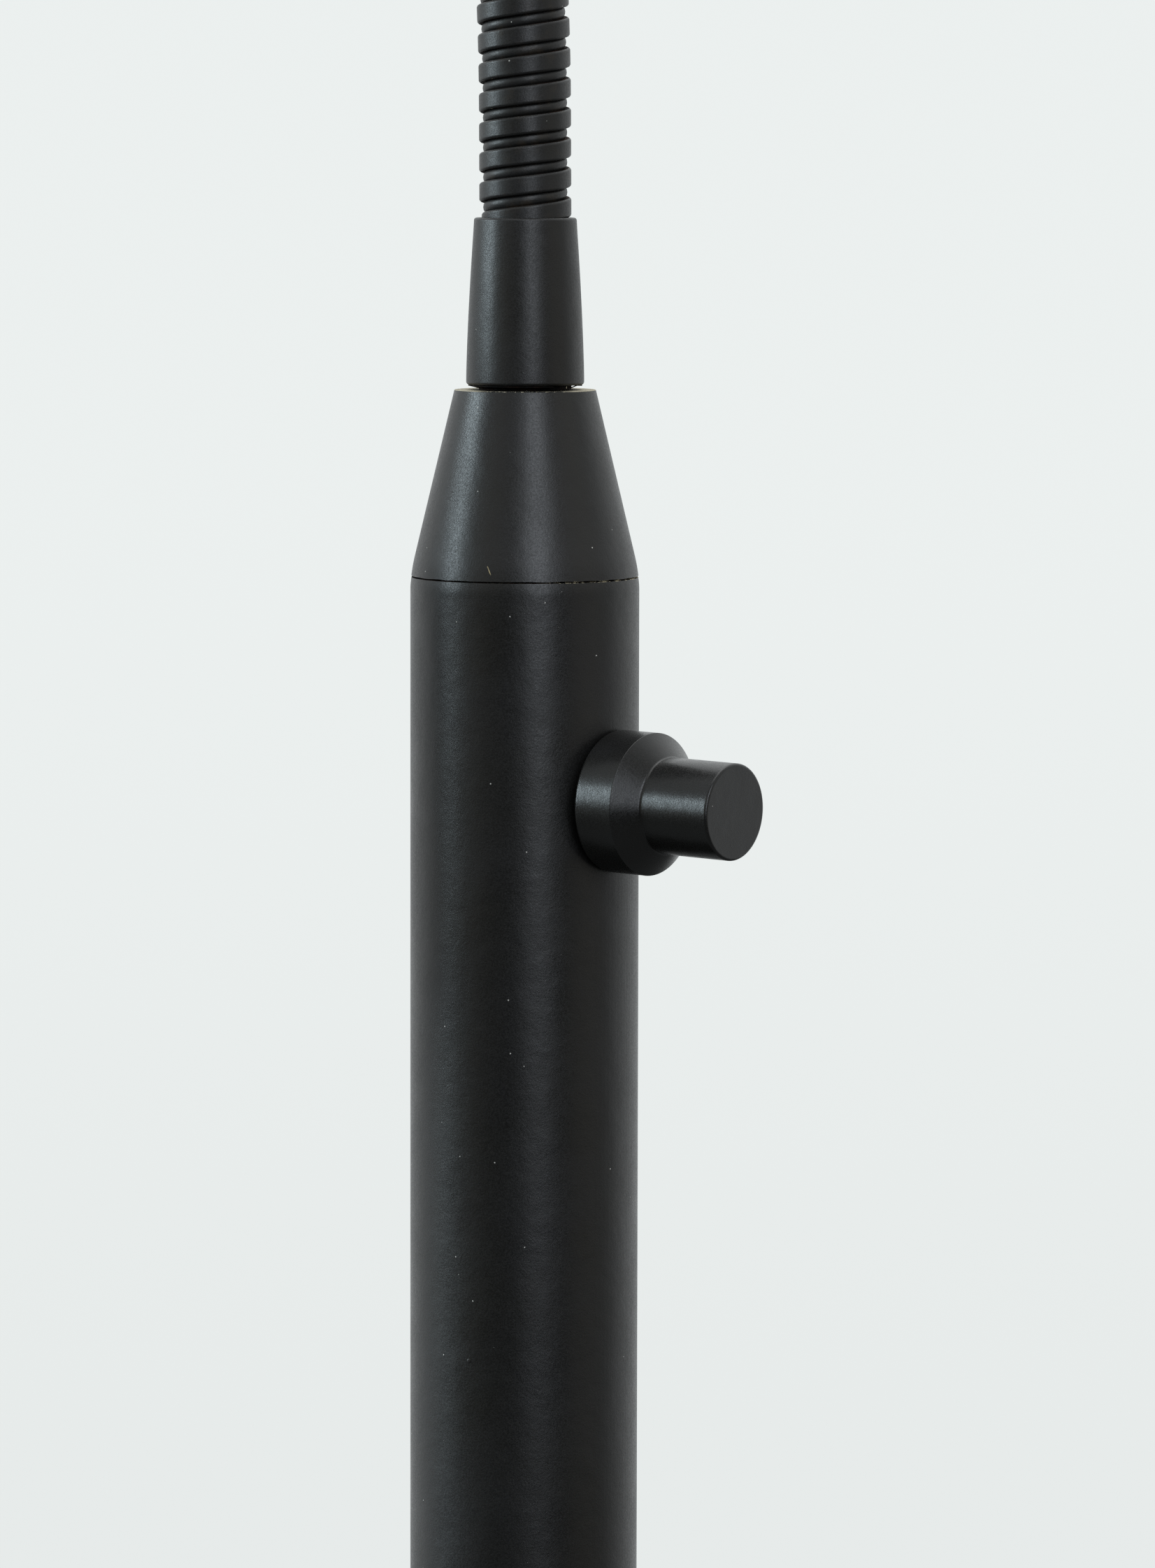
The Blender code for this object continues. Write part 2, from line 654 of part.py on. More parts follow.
def make_arm():
    """The ferrule and the gooseneck's links, each on the hinge at its lower end. It returns the
    last hinge and the point where the head's ferrule begins."""
    points, headings = neck_chain()
    swivel = joint_axis("arm_swivel_axis", (0, 0, NECK_MOUTH.z - FERRULE_HEIGHT))
    turned("ferrule_lower", ferrule_profile(), PAINT, steps=24, closed=True, parent=swivel,
           place=(0, 0, NECK_MOUTH.z - FERRULE_HEIGHT))
    half = LINK_GAP / 2
    inside = points[0] - NECK_INSERT * headings[0]
    neck_tube("neck_stub_lower", inside, points[1] - half * headings[0], swivel)
    lead("lead_stub_lower", [inside, points[1] - half * headings[0]], swivel)
    hinge = swivel
    for i in range(1, len(BENDS)):
        hinge = joint_axis(f"bend_{i}_axis", points[i], hinge)
        start = points[i] + half * headings[i]
        end = points[i + 1] - half * headings[i]
        neck_tube(f"neck_link_{i}", start, end, hinge)
        lead(f"lead_link_{i}", [start, end], hinge)
    hinge = joint_axis(f"bend_{len(BENDS)}_axis", points[-2], hinge)
    start = points[-2] + half * headings[-1]
    end = points[-1] + NECK_INSERT * headings[-1]
    neck_tube("neck_stub_upper", start, end, hinge)
    lead("lead_stub_upper", [start, end + 30 * MM * headings[-1]], hinge)
    return hinge, points[-1]


def make_head(hinge, mouth):
    """The spot head, hanging straight down from the gooseneck's end at mouth."""
    foot = mouth - Vector((0, 0, FERRULE_HEIGHT))
    turned("ferrule_upper", ferrule_profile(), PAINT, steps=24, closed=True, parent=hinge, place=foot)
    top = foot - Vector((0, 0, NECK_GAP))
    washer_between("head_washer", 0, hinge, top)

    seam = top - Vector((0, 0, HEAD_CAP_HEIGHT))
    tube_bore = HEAD_RADIUS - HEAD_WALL
    cap = cap_profile(CAP_TOP_RADIUS, HEAD_RADIUS - 0.05 * MM, HEAD_CAP_HEIGHT,
                      HEAD_CAP_HEIGHT - HEAD_CEILING, tube_bore - GAP, HEAD_SPIGOT_WALL, HEAD_CAP_BORE)
    turned("head_cap", cap, PAINT, steps=36, closed=True, parent=hinge, place=seam)

    def down(depth, x=0, y=0):
        return top + Vector((x, y, -depth))

    strip_top = HEAD_CEILING + GAP
    strip_low = strip_top + BRACKET_THICK
    nut_top = strip_low + GAP
    nut_low = nut_top + CAP_NUT_HEIGHT
    nipple_low = nut_low + 1.2 * MM
    nipple_high = FERRULE_HEIGHT + NECK_GAP - NECK_INSERT - 1 * MM
    ring("head_nipple", THREAD_BORE, THREAD_RADIUS, -nipple_low, nipple_high, STEEL, steps=24,
         parent=hinge, place=top)
    hang(nut("head_nut", CAP_NUT_FLATS, THREAD_CLEAR, down(nut_low), down(nut_top), STEEL), hinge)

    leg_in = HOLDER_RADIUS + 0.4 * MM
    leg_out = leg_in + BRACKET_THICK
    leg_foot = SOCKET_FACE - 4 * MM
    outline = [(-leg_out, -strip_top), (leg_out, -strip_top), (leg_out, -leg_foot), (leg_in, -leg_foot),
               (leg_in, -strip_low), (-leg_in, -strip_low), (-leg_in, -leg_foot), (-leg_out, -leg_foot)]
    bracket = extruded("holder_bracket", outline, BRACKET_HALF_WIDTH, STEEL, top)
    combine(bracket, [cutter_rod(THREAD_CLEAR, down(strip_low + 2 * MM), down(strip_top - 2 * MM))])
    hang(bracket, hinge)

    pins = [(-PIN_SPACING / 2, 0), (PIN_SPACING / 2, 0)]
    holder = rod("lamp_holder", HOLDER_RADIUS, down(SOCKET_FACE), down(HOLDER_TOP), CERAMIC, LAMP)
    combine(holder, [cutter_rod(PIN_RADIUS + GAP, down(SOCKET_FACE + 3 * MM, *pin),
                                down(SOCKET_FACE - 8 * MM, *pin), sides=16) for pin in pins])
    hang(holder, hinge)

    base_top = SOCKET_FACE + GAP
    base = rod("bulb_base", BULB_BASE_RADIUS, down(BULB_SEAT - GAP), down(base_top), CERAMIC, LAMP)
    combine(base, [rod("cutter", PIN_RADIUS, down(base_top + 2 * MM, *pin),
                       down(SOCKET_FACE - 7 * MM, *pin), STEEL, CUTTERS, sides=16) for pin in pins],
            "UNION")
    hang(base, hinge)

    count = 5
    flare = [sin(i / count * pi / 2) ** 0.8 for i in range(count + 1)]
    length = BULB_FACE - BULB_SEAT - BULB_RIM
    outer = [(BULB_NECK + (BULB_RADIUS - BULB_NECK) * share, -BULB_SEAT - length * i / count)
             for i, share in enumerate(flare)]
    inner = [(radius - BULB_WALL, height) for radius, height in reversed(outer[1:])]
    rim = BULB_RADIUS - BULB_WALL
    bulb = [(0, -BULB_SEAT), *outer, (BULB_RADIUS, -BULB_FACE), (rim, -BULB_FACE), *inner,
            (0, -BULB_SEAT - length / count)]
    turned("bulb_body", bulb, WHITE, steps=24, parent=hinge, place=top)
    board_top = BOARD_DEPTH - BULB_FACE
    board_low = board_top - BOARD_THICK
    turned("led_board", [(0, board_top), (BOARD_RADIUS, board_top), (BOARD_RADIUS, board_low),
                         (0, board_low)], WHITE, steps=24, parent=hinge, place=top)
    turned("bulb_lens", [(0, LENS_DEPTH - BULB_FACE), (rim - GAP, LENS_DEPTH - BULB_FACE),
                         (rim - GAP, LENS_CROWN - BULB_FACE), (0, -BULB_FACE)],
           LENS, parent=hinge, place=top)

    ring("head_shade", tube_bore, HEAD_RADIUS, -HEAD_LENGTH, -HEAD_CAP_HEIGHT - GAP / 2, PAINT,
         steps=36, parent=hinge, place=top)


clear_scene()
LAMP = new_collection("adjustable_arm_floor_lamp")
CUTTERS = new_collection("cutters", hidden=True)

PAINT = finish_of("satin_black_paint", (0.022, 0.022, 0.023), 0.42, 0.0)
STEEL = finish_of("plated_steel", (0.55, 0.55, 0.54), 0.32, 1.0)
IRON = finish_of("cast_iron", (0.10, 0.10, 0.10), 0.75, 0.6)
BRASS = finish_of("brass", (0.70, 0.52, 0.25), 0.3, 1.0)
FOAM = finish_of("pad_foam", (0.03, 0.03, 0.03), 0.95)
RUBBER = finish_of("inlet_rubber", (0.02, 0.02, 0.02), 0.7)
NYLON = finish_of("moulded_nylon", (0.75, 0.75, 0.72), 0.5)
SHEATH = finish_of("lead_sheath", (0.04, 0.04, 0.04), 0.55)
CERAMIC = finish_of("holder_ceramic", (0.85, 0.83, 0.78), 0.4)
WHITE = finish_of("bulb_white", (0.82, 0.82, 0.80), 0.35)
LENS = finish_of("bulb_lens", (0.92, 0.92, 0.90), 0.25, 0.0, Transmission_Weight=0.6)

KNOB_AT = Vector((0, 0, SEAM - KNOB_DROP))
KNOB_DIR = Vector((
    sin(radians(KNOB_HEADING)) * cos(radians(KNOB_DROOP)),
    -cos(radians(KNOB_HEADING)) * cos(radians(KNOB_DROOP)),
    -sin(radians(KNOB_DROOP)),
))
NECK_MOUTH = Vector((0, 0, SEAM + CAP_HEIGHT + NECK_GAP + FERRULE_HEIGHT))
NIPPLE_END = NECK_MOUTH.z - NECK_INSERT - 1 * MM

make_base()
make_post()
make_dimmer()
make_leads()
make_cap()
last_hinge, head_mouth = make_arm()
make_head(last_hinge, head_mouth)
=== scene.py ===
"""The looks of the adjustable arm floor lamp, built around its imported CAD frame: finely turned
metalwork, the wound gooseneck, the materials, and a pale studio to show them in.

Metres, +Z up, in the CAD's own frame. Azimuths are counted from the lamp's front, -Y, towards +X."""

import json
from math import ceil, cos, degrees, hypot, pi, radians, sin, tan

import bmesh
import bpy
import numpy as np
from mathutils import Matrix, Vector, noise as waves

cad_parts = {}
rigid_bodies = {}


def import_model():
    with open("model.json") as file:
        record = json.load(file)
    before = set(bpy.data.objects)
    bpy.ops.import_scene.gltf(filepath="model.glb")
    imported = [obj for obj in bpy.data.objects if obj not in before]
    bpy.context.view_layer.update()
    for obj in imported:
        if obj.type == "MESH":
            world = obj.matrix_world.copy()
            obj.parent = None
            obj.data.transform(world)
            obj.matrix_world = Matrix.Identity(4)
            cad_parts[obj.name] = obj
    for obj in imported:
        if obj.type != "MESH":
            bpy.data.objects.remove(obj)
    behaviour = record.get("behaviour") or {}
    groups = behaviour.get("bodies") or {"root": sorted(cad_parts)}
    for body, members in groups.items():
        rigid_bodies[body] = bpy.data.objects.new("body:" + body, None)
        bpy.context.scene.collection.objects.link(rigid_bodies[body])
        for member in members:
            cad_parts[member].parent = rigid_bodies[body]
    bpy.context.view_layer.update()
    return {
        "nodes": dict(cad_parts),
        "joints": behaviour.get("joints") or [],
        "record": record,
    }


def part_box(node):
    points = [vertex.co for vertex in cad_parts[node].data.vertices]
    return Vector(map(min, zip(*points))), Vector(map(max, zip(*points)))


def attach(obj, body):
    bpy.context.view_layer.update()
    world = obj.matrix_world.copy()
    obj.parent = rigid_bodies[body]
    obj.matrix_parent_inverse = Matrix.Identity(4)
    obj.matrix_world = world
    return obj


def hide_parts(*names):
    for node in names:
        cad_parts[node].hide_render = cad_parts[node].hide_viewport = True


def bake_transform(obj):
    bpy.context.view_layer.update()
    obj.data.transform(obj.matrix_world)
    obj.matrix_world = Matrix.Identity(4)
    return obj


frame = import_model()

MM = 0.001
GAP = 0.3 * MM  # clearance between neighbouring CAD pieces
STEPS = 128  # facets round a turned piece
BASE_STEPS = 256
JOINTS = {joint["name"]: joint for joint in frame["joints"]}
SLOTS = {part["node"]: part["material_slot"] for part in frame["record"]["subparts"]}


def low_of(node):
    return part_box(node)[0].z


def top_of(node):
    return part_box(node)[1].z


def radius_of(node):
    low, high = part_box(node)
    return (high.x - low.x) / 2


def towards(azimuth, elevation=0):
    """The direction at an azimuth and elevation in degrees."""
    across = cos(radians(elevation))
    return Vector((
        sin(radians(azimuth)) * across,
        -cos(radians(azimuth)) * across,
        sin(radians(elevation)),
    ))


# Post
POST_RADIUS = radius_of("post_upper")
POST_WALL = 1.5 * MM
POST_BORE = POST_RADIUS - POST_WALL
POST_FOOT = low_of("post_lower")
POST_JOINT = top_of("post_lower") + GAP / 2
SEAM = top_of("post_upper") + GAP / 2
LIP_DEPTH = 1.7 * MM  # stretch of tube that draws in towards an end
LIP_DROP = 0.14 * MM  # how far it draws in
SEAM_GAP = 0.14 * MM  # width of the dark line that a seam shows
THREAD_CLEAR = 5.3 * MM  # radius of the holes that the threaded nipples pass

# Cone cap
CAP_TOP = top_of("cone_cap")
CAP_TOP_RADIUS = 9.25 * MM
CAP_SLOPE = 0.2376  # widening per unit of fall
CAP_LIP_HEIGHT = 2.6 * MM  # where the cone starts to ease towards the tube
CAP_LIP_SLOPE = 0.113
CAP_CEILING = 17.9 * MM
CAP_BORE = 9 * MM  # radius of the hollow at its ceiling
SPIGOT_DEPTH = 8 * MM
SPIGOT_WALL = 2 * MM
SPIGOT_RISE = 4 * MM  # how far over the seam the hollow runs straight

# Ferrules
FERRULE_HEIGHT = top_of("ferrule_lower") - low_of("ferrule_lower")
FERRULE_FOOT = low_of("ferrule_lower")
FERRULE_WIDE = 7.72 * MM
FERRULE_NARROW = 6.69 * MM
FERRULE_CURVE = 1.42  # how soon the taper levels out
WASHER_SEAT = 6.8 * MM
WASHER_SEAT_DEPTH = 1 * MM
MOUTH_CLEAR = 0.15 * MM  # between the gooseneck and the ferrule's bore
MOUTH_RIM = 0.24 * MM  # how far out from the gooseneck the mouth's grime reaches

# Spring washer: its heights are over the cap that it sits on
WASHER_RADIUS = 6.05 * MM
WASHER_LOW = 0.03 * MM
WASHER_HIGH = 0.61 * MM
RIM_LOW = 0.13 * MM
RIM_HIGH = 0.52 * MM
RIM_RADIUS = 7.45 * MM
RIM_THICK = 0.11 * MM
RIM_TUCK = 0.2 * MM  # how far the rim and the blade reach into the washer's ring
BLADE_HALF_WIDTH = 0.8 * MM

# Gooseneck winding
NECK_RADIUS = 6.0 * MM
NECK_PITCH = 3.87 * MM
NECK_INSERT = 8.5 * MM  # length held in a ferrule
NECK_STEPS = 44  # sections per turn
WIRE_PHASE = 2.33 * MM  # height of a wire's centre over the ferrule's mouth, at the front
WIRE_HALF_WIDTH = 0.84 * MM
WIRE_HALF_DEPTH = 0.6 * MM
WIRE_CREST = 5.5 * MM
BAND_HALF = 1.225 * MM
BAND_CORNER = 0.34 * MM
FLANK_DEPTH = 0.32 * MM  # below this depth the strip's flanks hold grime
TUCK_DEPTH = 0.3 * MM  # how far the winding draws in as it enters a ferrule
TUCK_START = 1.2 * MM
TUCK_RUN = 0.8 * MM
LEAD_RADIUS = 1.4 * MM
LEAD_TAIL = 30 * MM  # how far the lead runs on into the head

# Knob
KNOB_AT = Vector(JOINTS["dial_turn"]["pos_m"])
KNOB_DIR = -Vector(JOINTS["dial_turn"]["axis"])
KNOB_BACK = POST_RADIUS + GAP
KNOB_END = 34.3 * MM
FLANGE_RADIUS = 9.3 * MM
FLANGE_LENGTH = 5.8 * MM
STEM_RADIUS = 6.3 * MM
STEM_CONE = 2.6 * MM
KNOB_WELL = 6.8 * MM  # radius of the recess in the knob's back, over the nut
KNOB_FLOOR = 19.3 * MM
KNOB_BORE = 3.3 * MM
KNOB_CROWN = 5 * MM  # solid end of the knob
BUSH_HOLE = 4.1 * MM
BUSH_HOLE_START = 8 * MM  # the drill's reach along the knob's axis
BUSH_HOLE_END = 20 * MM

# Base
BASE_RADIUS = radius_of("base_cover")
BASE_TOP = top_of("base_cover")
BASE_RIM = low_of("base_cover")
COVER_WALL = 1.2 * MM
COVER_EDGE = 5.0 * MM
PAD_RADIUS = radius_of("base_pad")
PAD_THICK = top_of("base_pad")
INLET_HEIGHT = 7.0 * MM
INLET_HOLE = 4.3 * MM
INLET_REACH = 6 * MM  # the drill's reach on either side of the wall
GLAND_RADIUS = 5.6 * MM
GLAND_BORE = 2.8 * MM
GLAND_LIP = 2.2 * MM  # how far the bush stands out of the cover
GLAND_DEPTH = 4 * MM  # how far it reaches in
COLLAR_TOP = top_of("post_collar")
COLLAR_REACH = 6 * MM
COLLAR_EDGE = 3.8 * MM

# Head: its depths run down from the top face of its cap
HEAD_TOP = top_of("head_cap")
HEAD_AT = (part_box("head_cap")[0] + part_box("head_cap")[1]) / 2
HEAD_RADIUS = radius_of("head_shade")
HEAD_CAP_HEIGHT = 28 * MM
HEAD_CEILING = 13 * MM
HEAD_CAP_BORE = 17.2 * MM
HEAD_SPIGOT_WALL = 1.6 * MM
HEAD_WALL = 1.25 * MM
HEAD_LENGTH = HEAD_TOP - low_of("head_shade")
BULB_RADIUS = 25 * MM
BULB_NECK = 13 * MM
BULB_SEAT = 50 * MM
BULB_FACE = 90 * MM
BULB_WALL = 1.5 * MM
BULB_RIM = 3 * MM  # straight edge round the bulb's face
LENS_DEPTH = 2.4 * MM
LENS_EDGE = 0.9 * MM  # how far the lens's edge lies inside the bulb's face
LENS_CROWN = 0.6 * MM


# ---------------------------------------------------------------- materials

def linear(red, green, blue):
    """A display colour, 0 to 255, as the linear colour that shaders take."""
    def channel(value):
        value /= 255
        return value / 12.92 if value <= 0.04045 else ((value + 0.055) / 1.055) ** 2.4
    return (channel(red), channel(green), channel(blue), 1)


def node(tree, kind, inputs=None, **settings):
    """Adds a shader node. Its inputs are linked to sockets or set to values."""
    made = tree.nodes.new("ShaderNode" + kind)
    for name, value in settings.items():
        setattr(made, name, value)
    for name, value in (inputs or {}).items():
        if isinstance(value, bpy.types.NodeSocket):
            tree.links.new(value, made.inputs[name])
        else:
            made.inputs[name].default_value = value
    return made


def maths(tree, operation, *values):
    return node(tree, "Math", dict(enumerate(values)), operation=operation).outputs[0]


def between(tree, value, low, high, out_low=0.0, out_high=1.0):
    """value eased from low..high to out_low..out_high."""
    inputs = {"Value": value, "From Min": low, "From Max": high, "To Min": out_low, "To Max": out_high}
    return node(tree, "MapRange", inputs, interpolation_type="SMOOTHSTEP").outputs[0]


def noise(tree, place, size, detail=2.0, roughness=0.5):
    """Noise whose features are about size across."""
    inputs = {"Vector": place, "Scale": 1 / size, "Detail": detail, "Roughness": roughness}
    return node(tree, "TexNoise", inputs).outputs["Fac"]


def specks(tree, place, cell, radius, share):
    """A mask of sparse round specks: one in some cells, where share says how many cells have one."""
    cells = node(tree, "TexVoronoi", {"Vector": place, "Scale": 1 / cell})
    dot = between(tree, cells.outputs["Distance"], 0.5 * radius / cell, radius / cell, 1, 0)
    lot = node(tree, "SeparateColor", {"Color": cells.outputs["Color"]}).outputs["Red"]
    return maths(tree, "MULTIPLY", dot, maths(tree, "LESS_THAN", lot, share))


def mixed(tree, factor, first, second):
    """A colour between two others."""
    made = node(tree, "Mix", data_type="RGBA")
    for socket, value in ((made.inputs[0], factor), (made.inputs[6], first), (made.inputs[7], second)):
        if isinstance(value, bpy.types.NodeSocket):
            tree.links.new(value, socket)
        else:
            socket.default_value = value
    return made.outputs[2]


def bumped(tree, heights):
    """The normal that several (height, depth in metres) layers of bump give."""
    normal = None
    for height, depth in heights:
        inputs = {"Height": height, "Distance": depth, "Strength": 1.0}
        if normal is not None:
            inputs["Normal"] = normal
        normal = node(tree, "Bump", inputs).outputs[0]
    return normal


def new_material(name, **sockets):
    """A material with a Principled shader, and the coordinates that its nodes start from."""
    material = bpy.data.materials.new(name)
    material.use_nodes = True
    tree = material.node_tree
    shader = tree.nodes["Principled BSDF"]
    for socket, value in sockets.items():
        shader.inputs[socket.replace("_", " ")].default_value = value
    place = node(tree, "TexCoord").outputs["Object"]
    return material, tree, shader, place


def drive(tree, shader, **sockets):
    for socket, value in sockets.items():
        tree.links.new(value, shader.inputs[socket.replace("_", " ")])


PAINT_DARK = (0.0062, 0.0060, 0.0052, 1)
PAINT_LIGHT = (0.0086, 0.0085, 0.0086, 1)
DUST = linear(190, 182, 160)
LINT = linear(206, 205, 198)
PRIMER = linear(176, 160, 122)
# Near black grime for crevices; on the spring washers it is painted shade as well.
SOOT_AND_PAINTED_SHADE = (0.0024, 0.0022, 0.0020, 1)
RUST = (0.034, 0.015, 0.009, 1)


def scratched(tree, place, start, end, width):
    """A mask of one thin scratch between two (x, z) points of a piece's front."""
    run = Vector(end) - Vector(start)
    along = run.normalized()
    across = Vector((-along.y, along.x))
    wobble = noise(tree, place, 0.5 * MM, 2)
    inputs = {0: place, 1: (start[0], 0, start[1])}
    offset = node(tree, "VectorMath", inputs, operation="SUBTRACT").outputs[0]
    distances = []
    for way in (along, across):
        inputs = {0: offset, 1: (way.x, 0, way.y)}
        distances.append(node(tree, "VectorMath", inputs, operation="DOT_PRODUCT").outputs["Value"])
    middle = maths(tree, "ABSOLUTE", maths(tree, "SUBTRACT", distances[0], run.length / 2))
    side = maths(tree, "ABSOLUTE", distances[1])
    reach = between(tree, middle, 0.35 * run.length, 0.55 * run.length, 1, 0)
    thin = between(tree, side, 0.2 * width, 0.6 * width, 1, 0)
    front = maths(tree, "LESS_THAN", node(tree, "SeparateXYZ", {0: place}).outputs["Y"], 0.0)
    broken = between(tree, wobble, 0.3, 0.5, 0.35, 1.0)
    line = maths(tree, "MULTIPLY", reach, thin)
    return maths(tree, "MULTIPLY", line, maths(tree, "MULTIPLY", front, broken))


def satin_coat(name, roughness, peel, wear=0.0, dust=0.0, scratches=(), gloss=0.5):
    """Satin black powder coat: fine orange peel, a few nibs and bright specks. Wear adds browned
    patches, dust a pale grey layer, and each scratch a thin line down to the primer. The dust lies
    evenly only beyond 4.5 mm either side of X = 0, with crumbs between: the bare middle is painted
    shade, for the shade under the ferrule."""
    material, tree, shader, place = new_material(name, Specular_IOR_Level=gloss)
    cloud = noise(tree, place, 14 * MM, 3)
    grain = noise(tree, place, 0.26 * MM, 2, 0.6)
    colour = mixed(tree, between(tree, cloud, 0.3, 0.7), PAINT_DARK, PAINT_LIGHT)
    if wear:
        scuff = maths(tree, "MULTIPLY", between(tree, noise(tree, place, 2.2 * MM, 4), 0.5, 0.75), wear)
        colour = mixed(tree, scuff, colour, (0.030, 0.022, 0.014, 1))
    bright = specks(tree, place, 2.2 * MM, 0.12 * MM, 0.36)
    colour = mixed(tree, maths(tree, "MULTIPLY", bright, 0.9), colour, LINT)
    if dust:
        # Dust lies evenly only beyond 4.5 mm either side of X = 0, and in crumbs between: the bare middle is
        # painted shade, standing for the shade under the ferrule.
        side = maths(tree, "ABSOLUTE", node(tree, "SeparateXYZ", {0: place}).outputs["X"])
        cover = between(tree, side, 4.5 * MM, 7.0 * MM, 0.0, dust)
        crumbs = between(tree, noise(tree, place, 0.45 * MM, 2, 0.7), 0.53, 0.60, 0.0, 0.7 * dust)
        dust_and_painted_shade_mask = maths(tree, "MAXIMUM", crumbs, cover)
        colour = mixed(tree, dust_and_painted_shade_mask, colour, DUST)
    for start, end, width in scratches:
        colour = mixed(tree, scratched(tree, place, start, end, width), colour, PRIMER)
    mottle = noise(tree, place, 0.22 * MM, 3, 0.7)
    rough = between(tree, mottle, 0.28, 0.72, roughness - 0.085, roughness + 0.085)
    rough = maths(tree, "ADD", rough, between(tree, noise(tree, place, 6 * MM, 2), 0.3, 0.7, -0.02, 0.02))
    rough = maths(tree, "ADD", rough, maths(tree, "MULTIPLY", bright, 0.3))
    nib = specks(tree, place, 11 * MM, 0.4 * MM, 0.5)
    normal = bumped(tree, [
        (noise(tree, place, 2.8 * MM, 2), 0.055 * MM * peel),
        (grain, 0.016 * MM * peel),
        (nib, 0.03 * MM),
    ])
    drive(tree, shader, Base_Color=colour, Roughness=rough, Normal=normal)
    return material


def grimy(name, grime, dust_side=None):
    """The paint of a crevice: near black, with rusty brown patches and crumbs of pale dust. On the
    spring washers the near black is also painted shade, for the shade in the gap under each
    ferrule. With dust_side, the crumbs lie mostly on that side of X = 0."""
    material, tree, shader, place = new_material(name, Specular_IOR_Level=0.12)
    patch = between(tree, noise(tree, place, 2.4 * MM, 3), 0.42, 0.62, 0.0, grime)
    colour = mixed(tree, patch, SOOT_AND_PAINTED_SHADE, RUST)
    crumb = specks(tree, place, 1.1 * MM, 0.22 * MM, 0.16)
    if dust_side:
        side = maths(tree, "MULTIPLY", node(tree, "SeparateXYZ", {0: place}).outputs["X"], dust_side)
        near = between(tree, side, 2.5 * MM, 4.5 * MM, 0.05, 1.0)
        streak = between(tree, noise(tree, place, 0.9 * MM, 2, 0.7), 0.50, 0.58)
        crumb = maths(tree, "MULTIPLY", streak, near)
    colour = mixed(tree, crumb, colour, linear(214, 204, 176))
    rough = between(tree, noise(tree, place, 0.4 * MM, 3), 0.3, 0.7, 0.62, 0.8)
    normal = bumped(tree, [(noise(tree, place, 0.5 * MM, 3), 0.03 * MM)])
    drive(tree, shader, Base_Color=colour, Roughness=rough, Normal=normal)
    return material


def plated_steel():
    """Bright zinc plate with fine tool marks and dull blotches."""
    material, tree, shader, place = new_material("plated_steel", Metallic=1.0)
    cloud = noise(tree, place, 5 * MM, 4)
    stretched = node(tree, "Mapping", {"Vector": place, "Scale": (1, 1, 14)}).outputs[0]
    marks = noise(tree, stretched, 1.6 * MM, 3)
    colour = mixed(tree, cloud, linear(176, 176, 172), linear(206, 207, 205))
    rough = between(tree, marks, 0.2, 0.8, 0.24, 0.42)
    drive(tree, shader, Base_Color=colour, Roughness=rough, Normal=bumped(tree, [(marks, 0.006 * MM)]))
    return material


def brass():
    material, tree, shader, place = new_material("brass", Metallic=1.0)
    cloud = noise(tree, place, 4 * MM, 3)
    colour = mixed(tree, cloud, linear(190, 152, 84), linear(224, 190, 120))
    rough = between(tree, noise(tree, place, 1 * MM, 3), 0.2, 0.8, 0.22, 0.38)
    drive(tree, shader, Base_Color=colour, Roughness=rough, Normal=bumped(tree, [(cloud, 0.01 * MM)]))
    return material


def cast_iron():
    material, tree, shader, place = new_material("cast_iron", Metallic=0.6)
    sand = noise(tree, place, 1.1 * MM, 5, 0.65)
    rust = between(tree, noise(tree, place, 18 * MM, 4), 0.55, 0.75)
    colour = mixed(tree, maths(tree, "MULTIPLY", rust, 0.5), linear(72, 72, 74), linear(96, 72, 54))
    rough = between(tree, sand, 0.3, 0.7, 0.62, 0.85)
    drive(tree, shader, Base_Color=colour, Roughness=rough, Normal=bumped(tree, [(sand, 0.18 * MM)]))
    return material


def pored(name, dark, light, pore, depth, rough_low, rough_high):
    """Foam, rubber and matt plastic: an even colour with pores or grain of a given size."""
    material, tree, shader, place = new_material(name)
    grain = noise(tree, place, pore, 4, 0.6)
    cloud = noise(tree, place, 20 * pore, 3)
    colour = mixed(tree, between(tree, cloud, 0.3, 0.7), dark, light)
    rough = between(tree, grain, 0.3, 0.7, rough_low, rough_high)
    drive(tree, shader, Base_Color=colour, Roughness=rough, Normal=bumped(tree, [(grain, depth)]))
    return material


def lens_plastic():
    """Frosted lens with a fine field of cells over the light source."""
    material, tree, shader, place = new_material("bulb_lens", IOR=1.49, Coat_Weight=0.3, Coat_Roughness=0.15)
    cells = node(tree, "TexVoronoi", {"Vector": place, "Scale": 1 / (2.2 * MM), "Randomness": 0.15})
    dome = cells.outputs["Distance"]
    colour = mixed(tree, between(tree, dome, 0.1, 0.6), linear(226, 223, 208), linear(242, 241, 234))
    rough = between(tree, dome, 0, 0.7, 0.22, 0.34)
    drive(tree, shader, Base_Color=colour, Roughness=rough, Normal=bumped(tree, [(dome, -0.35 * MM)]))
    return material


